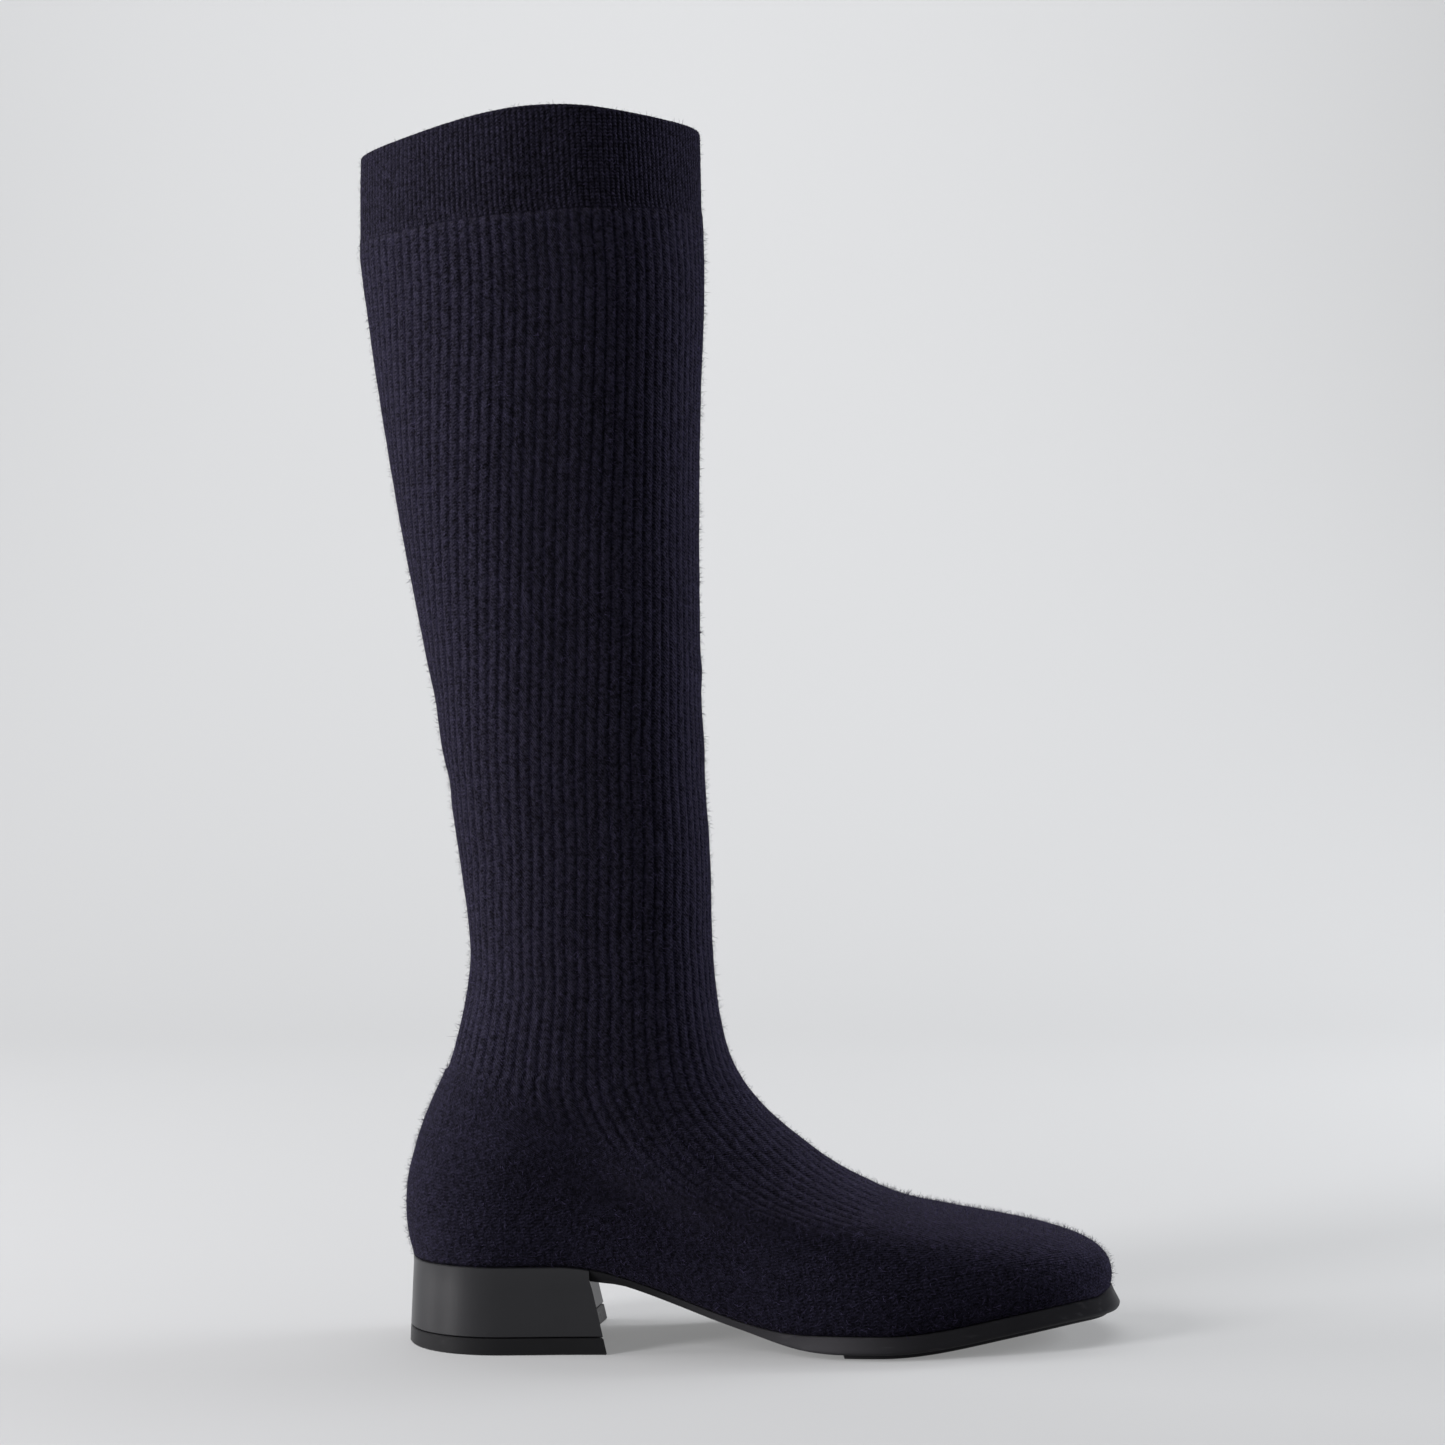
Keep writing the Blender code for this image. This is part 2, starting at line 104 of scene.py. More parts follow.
# front rise, back rise, lean, depth, half, widest, roundness, arch
shaftRows = (
    (0.000, 0.000, 0.000, 0.714, 0.725, 0.57, 2.10, 0.0),
    (0.052, 0.050, 0.008, 0.706, 0.730, 0.57, 2.10, 0.0),
    (0.145, 0.140, 0.014, 0.730, 0.765, 0.58, 2.10, 0.0),
    (0.257, 0.252, 0.033, 0.754, 0.815, 0.58, 2.10, 0.0),
    (0.386, 0.380, 0.042, 0.800, 0.880, 0.59, 2.08, 0.0),
    (0.531, 0.525, 0.045, 0.866, 0.935, 0.59, 2.05, 0.0),
    (0.675, 0.665, 0.041, 0.928, 0.980, 0.60, 1.98, 0.0),
    (0.804, 0.785, 0.030, 0.982, 1.000, 0.60, 1.88, 0.0),
    (0.899, 0.864, 0.033, 1.002, 1.000, 0.60, 1.75, 0.0),
    (1.005, 0.971, 0.038, 0.998, 1.000, 0.60, 1.62, 1.0),
)

swingCurve = ((0.0, 0.22, 0.44, 0.66, 0.85, 1.0), (0.0, 0.0, -0.034, -0.022, 0.020, 0.046))

# Where the frame puts the back of the heel and the last's middle line
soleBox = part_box("outsole")
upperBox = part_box("upper")
toeReach = lastSizes["footLength"] + lastSizes["soleMargin"] + lastSizes["soleFlare"]
heelBack = soleBox[1][0] - toeReach
middleLine = (upperBox[0][1] + upperBox[1][1]) / 2
print("heel back at", round(heelBack, 5), "middle line at", round(middleLine, 5))


def mixed(start, end, share):
    return start + (end - start) * share


def eased(start, end, value):
    share = np.clip((value - start) / (end - start), 0.0, 1.0)
    return share * share * (3.0 - 2.0 * share)


def seatHeight(x):  # height of the seat line over the floor, x from the heel's back
    share = x / lastSizes["footLength"]
    arch = 1.0 - eased(*lastSizes["arch"], share)
    spring = eased(*lastSizes["spring"], share)
    rise = (lastSizes["heelSeat"] - lastSizes["ballSeat"]) * arch
    return lastSizes["ballSeat"] + rise + lastSizes["toeSpring"] * spring


def lastSwing(x):  # sideways place of the last's middle line
    shares, swings = swingCurve
    share = np.clip(x / lastSizes["footLength"], 0.0, 1.0)
    place = np.zeros_like(share)
    for start, end, low, high in zip(shares, shares[1:], swings, swings[1:]):
        inside = (share >= start) & (share <= end)
        place = np.where(inside, mixed(low, high, eased(start, end, share)), place)
    return lastSizes["ballWidth"] * place


def sectionTable():  # the tables' shares as lengths, with the same columns for foot and shaft
    table = []
    ankle = lastSizes["ankleHeight"]
    toeSeat = lastSizes["ballSeat"] + lastSizes["toeSpring"]
    for row in footRows:
        front, frontRise, back, backRise, half, heel, heelRun, widest, roundness, sag, swing = row
        table.append((
            front * lastSizes["footLength"],
            mixed(toeSeat, ankle, frontRise),
            back * lastSizes["footLength"],
            mixed(lastSizes["heelSeat"], ankle, backRise),
            half * lastSizes["ballWidth"] / 2,
            heel, heelRun, widest, lastSizes["heelRoundness"], roundness, sag, swing, 0.0,
        ))
    for frontRise, backRise, lean, depth, half, widest, roundness, arch in shaftRows:
        frontX = lastSizes["ankleFront"] - lean * lastSizes["shaftDepth"]
        table.append((
            frontX,
            ankle + frontRise * lastSizes["shaftHeight"],
            frontX - depth * lastSizes["shaftDepth"],
            ankle + backRise * lastSizes["shaftHeight"],
            half * lastSizes["shaftWidth"] / 2,
            1.0, 0.5, widest, roundness, roundness, 0.0, 0.0, lastSizes["collarArch"] * arch,
        ))
    return np.array(table)


sections = sectionTable()


def sectionsAt(levels):  # smooth curves through the table's rows
    levels = np.asarray(levels, float)
    index = np.minimum(levels.astype(int), len(sections) - 2)
    share = (levels - index)[:, None]
    rows = [sections[np.clip(index + step, 0, len(sections) - 1)] for step in (-1, 0, 1, 2)]
    rise = (rows[2] - rows[0]) / 2
    runOut = (rows[3] - rows[1]) / 2
    square = share ** 2
    cube = share ** 3
    return (
        (2 * cube - 3 * square + 1) * rows[1] + (cube - 2 * square + share) * rise
        + (3 * square - 2 * cube) * rows[2] + (cube - square) * runOut
    )


def lastPoints(levels, shares, side, step):  # points in the boot's frame, one row for each level
    values = sectionsAt(levels)
    frontX, frontZ, backX, backZ, half, heel, heelRun, widest, backPower, power, sag, swing, crown = (
        values[:, [column]] for column in range(values.shape[1]))
    step = np.broadcast_to(np.asarray(step, float), (len(values),))[:, None]
    shares = np.broadcast_to(shares, (len(values), shares.shape[-1]))
    backX = backX - step
    frontX = frontX + np.minimum(step, 0.0)
    x = mixed(backX, frontX, shares)
    chord = mixed(seatHeight(backX), seatHeight(frontX), shares)
    z = mixed(backZ, frontZ, shares) + sag * (seatHeight(x) - chord)
    z = z + crown * (4 * shares * (1 - shares)) ** lastSizes["archPeak"]
    rear = 1.0 - np.minimum(shares / heelRun, 1.0)
    fore = np.maximum((shares - widest) / (1.0 - widest), 0.0)
    body = mixed(heel, 1.0, eased(lastSizes["waistStart"], widest, shares))
    backEnd = np.maximum(1.0 - rear ** backPower, 0.0) ** (1.0 / backPower)
    frontEnd = np.maximum(1.0 - fore ** power, 0.0) ** (1.0 / power)
    fullness = half + step * (1 - shares) ** 3    # the counter's ledge fades away from the back
    y = side * fullness * body * backEnd * frontEnd + swing * lastSwing(x)
    return np.stack([x + heelBack, y + middleLine, z], axis=2)


# Nodes as plain expressions

class Wire:  # one socket, so that sums on values read as sums
    def __init__(self, bench, socket):
        self.bench = bench
        self.socket = socket

    def __add__(self, other):
        return self.bench.calc("ADD", self, other)

    def __sub__(self, other):
        return self.bench.calc("SUBTRACT", self, other)

    def __rsub__(self, other):
        return self.bench.calc("SUBTRACT", other, self)

    def __mul__(self, other):
        return self.bench.calc("MULTIPLY", self, other)

    def __truediv__(self, other):
        return self.bench.calc("DIVIDE", self, other)

    def __pow__(self, other):
        return self.bench.calc("POWER", self, other)

    __radd__ = __add__
    __rmul__ = __mul__


class Bench:  # a node tree and the ways to add to it
    def __init__(self, tree):
        self.tree = tree
        tree.nodes.clear()

    def put(self, socket, value):
        if isinstance(value, Wire):
            self.tree.links.new(value.socket, socket)
        else:
            socket.default_value = value

    def node(self, kind, settings=None, sockets=None, output=0):
        item = self.tree.nodes.new(kind)
        for name, value in (settings or {}).items():
            setattr(item, name, value)
        for name, value in (sockets or {}).items():
            self.put(item.inputs[name], value)
        return None if output is None else Wire(self, item.outputs[output])

    def calc(self, operation, first, second=0.0):
        return self.node("ShaderNodeMath", {"operation": operation}, {0: first, 1: second})

    def scaled(self, vector, factor):
        return self.node("ShaderNodeVectorMath", {"operation": "SCALE"}, {0: vector, "Scale": factor})

    def parts(self, vector):  # X, Y and Z of a vector
        split = self.node("ShaderNodeSeparateXYZ", None, {0: vector}).socket.node
        return [Wire(self, socket) for socket in split.outputs]

    def objectPlace(self):
        return self.node("ShaderNodeTexCoord", output=3)

    def easedStep(self, value, low, high):
        sockets = {"Value": value, "From Min": low, "From Max": high}
        return self.node("ShaderNodeMapRange", {"interpolation_type": "SMOOTHSTEP"}, sockets)

    def blend(self, share, first, second, way="MIX"):
        settings = {"data_type": "RGBA", "blend_type": way}
        return self.node("ShaderNodeMix", settings, {0: share, 6: first, 7: second}, 2)

    def noise(self, place, scale, detail=2.0, roughness=0.5):
        sockets = {"Vector": place, "Scale": scale, "Detail": detail, "Roughness": roughness}
        return self.node("ShaderNodeTexNoise", None, sockets)

    def stretched(self, place, scale):
        return self.node("ShaderNodeMapping", None, {"Vector": place, "Scale": scale})

    def bump(self, height, strength, distance):
        sockets = {"Height": height, "Strength": strength, "Distance": distance}
        return self.node("ShaderNodeBump", None, sockets)


def startMaterial(name):
    material = bpy.data.materials.new(name)
    material.use_nodes = True
    return material, Bench(material.node_tree)


def finishMaterial(material, bench, sockets):  # the shader's own sockets, and its way to the surface
    shader = bench.node("ShaderNodeBsdfPrincipled", None, sockets)
    bench.node("ShaderNodeOutputMaterial", None, {"Surface": shader}, output=None)
    return material


# Knit: rings of the last turned into rows and columns that follow the ribs

knitCounts = {
    "ribPitch": 0.00405,
    "columnsPerRib": 6,
    "footSteps": (3, 3, 4, 6, 8, 9, 9, 8, 7, 6, 5, 6),
    "shaftSteps": (5, 9, 10, 12, 13, 13, 12, 9),
    "ledgeRows": (-0.1, -0.05, 0.0, 0.05, 0.1),    # levels round the counter's edge
    "ledgeGap": 0.13,
    "normalReach": 0.03,         # levels above and below from which a normal is taken
    "topLevel": 20.99,
    "lastColumn": 0.9985,        # share of a row's length at which its columns end
    "wall": 0.0022,
    "samples": 401,
    "insideSteps": 34,
    "cuffColumnsPerRib": 10,
    "cuffSteps": 13,
    "cuffInsideSteps": 7,
}

# Lower edge of the ribs on the foot: x from the heel's back and height, both in millimetres
ribEdge = (
    (0.0, 100.6), (16.7, 99.8), (28.0, 96.0), (41.0, 91.0), (55.0, 85.0), (68.0, 77.0), (76.0, 72.0),
    (88.0, 65.5), (99.0, 57.0), (117.0, 52.0), (135.0, 45.5), (158.0, 43.3), (167.0, 44.6),
    (171.0, 48.0), (175.0, 53.4), (178.0, 62.0), (182.0, 90.0), (300.0, 120.0),
)

# Soft dents where the empty knit gives way: place from the heel's back, reach and depth, in millimetres
softDents = (
    (109.6, 0.0, 246.0, 12.0, 26.0, 5.0, -0.5),
    (109.6, 0.0, 218.0, 12.0, 26.0, 10.0, -0.6),
    (13.1, 0.0, 236.0, 12.0, 22.0, 9.0, 0.6),
    (18.0, 0.0, 205.0, 12.0, 20.0, 7.0, 0.7),
    (30.0, -28.0, 176.0, 22.0, 16.0, 6.0, 0.5),
    (84.0, -28.0, 150.0, 26.0, 16.0, 7.0, 0.6),
    (92.0, -24.0, 128.0, 26.0, 18.0, 6.0, 0.6),
    (36.0, -26.0, 126.0, 24.0, 18.0, 6.5, 0.5),
    (60.0, -44.0, 292.0, 40.0, 20.0, 10.0, 0.5),
    (84.0, -44.0, 352.0, 12.0, 20.0, 60.0, 1.1),
)
edgeLip = {    # faint welt under the ribs' lower edge; its run along the foot in millimetres
    "rise": 0.00045,
    "down": 0.010,
    "start": (8.0, 28.0),
    "end": (60.0, 120.0),
}


def rowLevels():
    levels = []
    for start, count in enumerate(knitCounts["footSteps"] + knitCounts["shaftSteps"]):
        levels += [start + step / count for step in range(count)]
    edge = lastSizes["counterEdge"]
    levels = [level for level in levels if abs(level - edge) > knitCounts["ledgeGap"]]
    levels += [edge + step for step in knitCounts["ledgeRows"]]
    return sorted(levels) + [lastSizes["cuffEdge"]]


def wallStep(levels):  # how far the counter stands out at the back, below its edge
    edge = lastSizes["counterEdge"]
    return lastSizes["counterStep"] * (1.0 - eased(edge - 0.05, edge + 0.05, np.asarray(levels, float)))


def densePoints(levels, steps):  # points and outward directions of both sides, front to back
    turn = np.linspace(0.0, 1.0, knitCounts["samples"])
    shares = (1.0 + np.cos(np.pi * turn)) / 2.0
    reach = knitCounts["normalReach"]
    points = []
    normals = []
    for side in (-1, 1):
        here = lastPoints(levels, shares, side, steps)
        higher = np.minimum(np.asarray(levels) + reach, knitCounts["topLevel"])
        above = lastPoints(higher, shares, side, steps)
        below = lastPoints(np.maximum(np.asarray(levels) - reach, 0.0), shares, side, steps)
        normal = np.cross(np.gradient(here, axis=1), above - below) * side
        normal[:, [0, -1], 1] = 0.0
        normal[:, 0, 0] = np.abs(normal[:, 0, 0])
        normal /= np.maximum(np.linalg.norm(normal, axis=2, keepdims=True), 1e-12)
        points.append(here)
        normals.append(normal)
    return np.stack(points, axis=1), np.stack(normals, axis=1)


def knitShell(name, levels, drops, steps, columnsPerRib):
    # rows of one closed shell, from the outside's bottom over its top and down the inside
    levels = np.asarray(levels, float)
    surface, normals = densePoints(levels, steps)
    points = surface - normals * np.asarray(drops, float)[:, None, None, None]
    strides = np.linalg.norm(np.diff(surface, axis=2), axis=3)
    along = np.concatenate([np.zeros(strides.shape[:2] + (1,)), np.cumsum(strides, axis=2)], axis=2)
    reach = along[:, :, -1]
    pitch = knitCounts["ribPitch"]
    outer = np.arange(len(levels)) <= int(np.argmax(levels))
    order = np.argsort(levels[outer])
    ankleReach = np.interp(lastSizes["ankleLevel"], levels[outer][order], reach[outer, 0][order])
    ribsAtAnkle = ankleReach / pitch
    columns = int(math.ceil(reach.max() / pitch * columnsPerRib)) + 1
    turns = np.arange(columns) / columnsPerRib
    grid = np.zeros((len(levels), 2, columns, 3))
    last = np.zeros((len(levels), 2), int)
    for row in range(len(levels)):
        for side in (0, 1):
            if levels[row] > lastSizes["ankleLevel"]:
                places = turns * pitch * reach[row, side] / reach[row, 0]
            else:
                places = turns / ribsAtAnkle * reach[row, side]
            last[row, side] = int(np.argmax(places >= reach[row, side] * knitCounts["lastColumn"]))
            for axis in range(3):
                line = points[row, side, :, axis]
                grid[row, side, :, axis] = np.interp(places, along[row, side], line)
    down = np.cumsum(np.linalg.norm(np.diff(grid[:, 0], axis=0), axis=2), axis=0)
    down = np.concatenate([np.zeros((1, columns)), down], axis=0)
    spots = []
    turnOf = []
    downOf = []
    rowOf = []
    index = np.zeros((len(levels), 2, columns), int)

    def addSpot(row, side, column):
        spots.append(grid[row, side, column])
        turnOf.append(turns[column])
        downOf.append(down[row, column])
        rowOf.append(row)
        return len(spots) - 1

    for row in range(len(levels)):
        index[row, :, 0] = addSpot(row, 0, 0)
        end = min(last[row])
        for side in (0, 1):
            for column in range(1, end):
                index[row, side, column] = addSpot(row, side, column)
        index[row, :, end:] = addSpot(row, 0, end)
    faces = []
    rowCount = len(levels)
    for row in range(rowCount):
        follow = (row + 1) % rowCount
        for side in (0, 1):
            for column in range(columns - 1):
                near = (index[row, side, column], index[follow, side, column])
                far = (index[row, side, column + 1], index[follow, side, column + 1])
                corners = (far[0], near[0], near[1], far[1])
                if side == 1:
                    corners = (near[0], far[0], far[1], near[1])
                corners = list(dict.fromkeys(corners))
                if len(corners) > 2:
                    faces.append(corners)
    data = bpy.data.meshes.new(name)
    data.from_pydata([tuple(spot) for spot in spots], [], faces, shade_flat=False)
    piece = placed(name, data)
    return piece, np.array(spots), np.array(turnOf), np.array(downOf), np.array(rowOf)


def keepValues(piece, name, values):  # a value for each vertex, for the nodes to read
    data = piece.data.attributes.new(name, "FLOAT", "POINT")
    data.data.foreach_set("value", np.asarray(values, np.float32))


def keepMap(piece, name, across, up):  # a UV map from a pair of values for each vertex
    corners = np.zeros(len(piece.data.loops), int)
    piece.data.loops.foreach_get("vertex_index", corners)
    layer = piece.data.uv_layers.new(name=name)
    places = np.stack([across[corners], up[corners]], axis=1).astype(np.float32)
    layer.data.foreach_set("uv", places.ravel())


def dentDepths(spots):
    places = (spots - (heelBack, middleLine, 0.0)) * 1000
    depths = np.zeros(len(spots))
    for dent in softDents:
        away = (places - dent[:3]) / dent[3:6]
        depths += dent[6] / 1000 * np.exp(-(away ** 2).sum(axis=1))
    return depths


def buildUpper():
    top = lastSizes["cuffEdge"]
    levels = rowLevels()
    count = len(levels)
    drops = [0.0] * count
    steps = list(wallStep(levels))
    tuck = [(top, 0.0004), (top - 0.005, 0.0010)]    # the rim that goes under the cuff
    levels += [level for level, drop in tuck]
    drops += [drop for level, drop in tuck]
    inside = np.linspace(top - 0.02, 0.0, knitCounts["insideSteps"])
    levels += list(inside)
    drops += [knitCounts["wall"]] * len(inside)
    steps += [0.0] * len(tuck) + list(wallStep(inside))
    piece, spots, turns, down, rows = knitShell(
        "knitUpper", levels, drops, steps, knitCounts["columnsPerRib"])
    edgeHeight = np.interp((spots[:, 0] - heelBack) * 1000, *zip(*ribEdge)) / 1000
    outside = rows < count
    atTop = eased(top - 0.07, top, np.array(levels)[rows])
    reach = eased(-0.0015, 0.0075, spots[:, 2] - edgeHeight) * outside
    keepValues(piece, "ribTurn", turns)
    keepValues(piece, "ribReach", reach)
    below = np.clip((edgeHeight - spots[:, 2]) / edgeLip["down"], 0.0, 1.0)
    along = (spots[:, 0] - heelBack) * 1000
    lip = edgeLip["rise"] * (1.0 - reach) * (1.0 - below) ** 2
    lip = lip * eased(*edgeLip["start"], along) * (1.0 - eased(*edgeLip["end"], along))
    keepValues(piece, "tuck", (atTop * 0.0001 + dentDepths(spots) - lip) * outside)
    keepValues(piece, "shaftFuzz", reach * (rows < count - 1))
    keepValues(piece, "footFuzz", (1.0 - reach) * (rows < count) * (rows > 0))
    keepMap(piece, "ribKnit", turns, down * 1000)
    keepMap(piece, "plainKnit", turns * knitCounts["ribPitch"] * 1000, down * 1000)
    print("knit upper:", len(piece.data.vertices), "vertices")
    return piece


def buildCuff():
    edge = lastSizes["cuffEdge"]
    wall = knitCounts["wall"]
    outside = [(edge - 0.03, 0.0010), (edge + 0.001, 0.00005), (edge + 0.012, 0.0)]
    levels = np.linspace(edge + 0.03, edge + 0.93, knitCounts["cuffSteps"])
    outside += [(level, 0.0) for level in levels]
    rim = [(edge + 0.968, 0.00012), (edge + 0.989, 0.00045), (edge + 1.0, 0.0011)]
    rim += [(edge + 0.989, wall - 0.00045), (edge + 0.968, wall - 0.00012)]
    inside = np.linspace(edge + 0.93, edge - 0.01, knitCounts["cuffInsideSteps"])
    rows = outside + rim + [(level, wall) for level in inside] + [(edge - 0.03, wall - 0.0005)]
    levels = [level for level, drop in rows]
    drops = [drop for level, drop in rows]
    steps = list(-lastSizes["cuffStep"] * eased(edge, edge + 0.12, np.array(levels)))
    piece, spots, turns, down, rowOf = knitShell(
        "collarCuff", levels, drops, steps, knitCounts["cuffColumnsPerRib"])
    height = np.array(levels)[rowOf] - edge
    reach = eased(-0.01, 0.02, height) * (1.0 - eased(0.90, 1.0, height) * 0.6)
    keepValues(piece, "ribTurn", turns)
    keepValues(piece, "ribReach", reach * (rowOf < len(outside) + len(rim)))
    keepValues(piece, "tuck", dentDepths(spots))
    keepValues(piece, "shaftFuzz", (rowOf > 0) * (rowOf < len(outside) + 4))
    keepMap(piece, "ribKnit", turns, down * 1000)
    keepMap(piece, "plainKnit", turns * knitCounts["ribPitch"] * 1000, down * 1000)
    print("collar cuff:", len(spots), "vertices")
    return piece


# Sole and heel: slabs with the outline of the foot's seat

soleSizes = {
    "clearance": 0.0003,
    "waistThickness": 0.0034,
    "foreThickness": 0.0064,
    "waistTuck": 0.0020,
    "rootDrop": 0.0015,          # the waist is deeper where it meets the heel
    "rootReach": 0.014,
    "tipReach": 0.0010,
    "tipRise": 0.0020,           # the rim climbs a little round the tip of the toe
    "tipRun": 0.010,
    "foreRun": (0.46, 0.60),     # shares of the foot's length over which the sole gets its forefoot
    "edgeRound": 0.0014,
    "padStart": 0.60,
    "padInset": 0.0026,
    "padRoot": 0.0006,
    "padRound": 0.0004,
    "grooves": (0.700, 0.748, 0.796, 0.844, 0.892, 0.938),
    "grooveWidth": 0.0024,
    "grooveDepth": 0.0012,
    "grooveReach": 0.80,         # share of the pad's half width
    "grooveLip": 0.0006,         # share of the foot's length from a groove's edge to its floor
    "stations": 96,
    "padStations": 60,
    "crowding": 2.1,             # how much closer the stations lie at the toe
    "sharpAngle": 38.0,
}
heelSizes = {
    "breast": 0.0684,
    "slope": 0.0066,
    "hollow": 0.0045,
    "margin": 0.0012,
    "flare": 0.0012,
    "topLift": 0.0060,
    "blockRow": 0.0265,          # heights of the first row under the sole and of the lift's middle
    "liftRow": 0.003,
    "edgeRound": 0.00035,
    "stations": 48,
    "crowding": 1.9,
}


def seatShare(x):
    return (x - sections[0, 2]) / (sections[0, 0] - sections[0, 2])


def footEdge(shares):  # places on the seat's outline and their outward directions, for both sides
    edge = []
    reach = np.minimum(0.002, 0.5 * np.minimum(shares, 1.0 - shares)) + 1e-6
    for side in (-1, 1):
        here, before, after = (
            lastPoints([0.0], np.clip(shares + step, 0.0, 1.0), side, 0.0)[0, :, :2]
            for step in (0.0, -reach, reach))
        along = (after - before) / np.linalg.norm(after - before, axis=1, keepdims=True)
        outward = np.stack([-along[:, 1], along[:, 0]], axis=1) * side
        outward[shares <= 0.0] = (-1.0, 0.0)
        outward[shares >= 1.0] = (1.0, 0.0)
        edge.append((here, outward))
    return edge


def slabRows(level, turns, places, hollows, dent=None):
    start, end, offset, height = level
    shares = mixed(start, end, turns)
    (outer, outerWay), (inner, innerWay) = footEdge(shares)
    reach = np.broadcast_to(offset(shares), shares.shape)[:, None]
    outer = outer + outerWay * reach
    inner = inner + innerWay * reach
    rows = []
    for number, share in enumerate(shares):
        if share <= 0.0 or share >= 1.0:
            x, y = outer[number]
            rows.append([(x, y, float(height(x - heelBack)))])
            continue
        row = []
        for place in places:
            x = mixed(outer[number, 0], inner[number, 0], place)
            x -= mixed(hollows[0], hollows[1], turns[number]) * (1 - (2 * place - 1) ** 2)
            z = float(height(x - heelBack))
            if dent and 0.0 < place < 1.0:
                z += dent(share, place)
            row.append((x, mixed(outer[number, 1], inner[number, 1], place), z))
        rows.append(row)
    return rows


def slabPiece(name, levels, turns, places=None, hollows=(0.0, 0.0), dent=None):
    # closed slab through levels from its top to its bottom
    places = np.linspace(0.0, 1.0, 7) if places is None else places
    spots = []
    faces = []
    rims = []
    for number, level in enumerate(levels):
        bottom = number == len(levels) - 1
        rows = slabRows(level, turns, places, hollows, dent if bottom else None)
        rim = [(row, 0) for row in range(len(rows))]
        rim += [(len(rows) - 1, column) for column in range(1, len(rows[-1]) - 1)]
        rim += [(row, len(rows[row]) - 1) for row in reversed(range(len(rows))) if len(rows[row]) > 1]
        rim += [(0, column) for column in range(len(rows[0]) - 2, 0, -1)]
        used = {}
        wanted = rim if 0 < number < len(levels) - 1 else [
            (row, column) for row in range(len(rows)) for column in range(len(rows[row]))]
        for row, column in wanted:
            used[row, column] = len(spots)
            spots.append(rows[row][column])
        rims.append([used[spot] for spot in rim])
        if number in (0, len(levels) - 1):
            for row in range(len(rows) - 1):
                last = (len(rows[row]) - 1, len(rows[row + 1]) - 1)
                for column in range(max(last)):
                    corners = [used[row, min(column + step, last[0])] for step in (0, 1)]
                    corners += [used[row + 1, min(column + step, last[1])] for step in (1, 0)]
                    faces.append(list(dict.fromkeys(corners)))
    for over, under in zip(rims, rims[1:]):
        for index in range(len(over)):
            follow = (index + 1) % len(over)
            faces.append((over[index], over[follow], under[follow], under[index]))
    shape = bmesh.new()
    verts = [shape.verts.new(spot) for spot in spots]
    for corners in faces:
        shape.faces.new([verts[corner] for corner in corners])
    bmesh.ops.recalc_face_normals(shape, faces=shape.faces)
    data = bpy.data.meshes.new(name)
    shape.to_mesh(data)
    shape.free()
    data.shade_smooth()
    data.set_sharp_from_angle(angle=math.radians(soleSizes["sharpAngle"]))
    return placed(name, data)


def soleTop(x):
    return seatHeight(x) - soleSizes["clearance"]


def soleBottom(x):
    fore = eased(*soleSizes["foreRun"], x / lastSizes["footLength"])
    breast = heelSizes["breast"]
    root = 1.0 - eased(breast, breast + soleSizes["rootReach"], x)
    return seatHeight(x) - mixed(soleSizes["waistThickness"], soleSizes["foreThickness"], fore) - (
        soleSizes["rootDrop"] * root)


def soleOffset(shares):
    fore = eased(*soleSizes["foreRun"], shares)
    tip = soleSizes["tipReach"] * eased(0.93, 1.0, shares)
    return lastSizes["soleMargin"] + mixed(-soleSizes["waistTuck"], lastSizes["soleFlare"], fore) + tip


def toeTurns(count):  # places from the breast to the toe's tip, closer together at the toe
    return 1.0 - (1.0 - np.linspace(0.0, 1.0, count + 1)) ** soleSizes["crowding"]


def wallRows(start, profile):  # levels of the sole's side: how far out and how far down each lies
    rows = []
    end = lastSizes["footLength"]
    for out, tuck, down in profile:
        def offset(shares, out=out, tuck=tuck):
            return mixed(lastSizes["soleMargin"], soleOffset(shares), out) - tuck

        def height(x, down=down):
            tip = eased(end - soleSizes["tipRun"], end, x)
            return mixed(soleTop(x) + soleSizes["tipRise"] * tip, soleBottom(x), down)

        rows.append((start, 1.0, offset, height))
    return rows


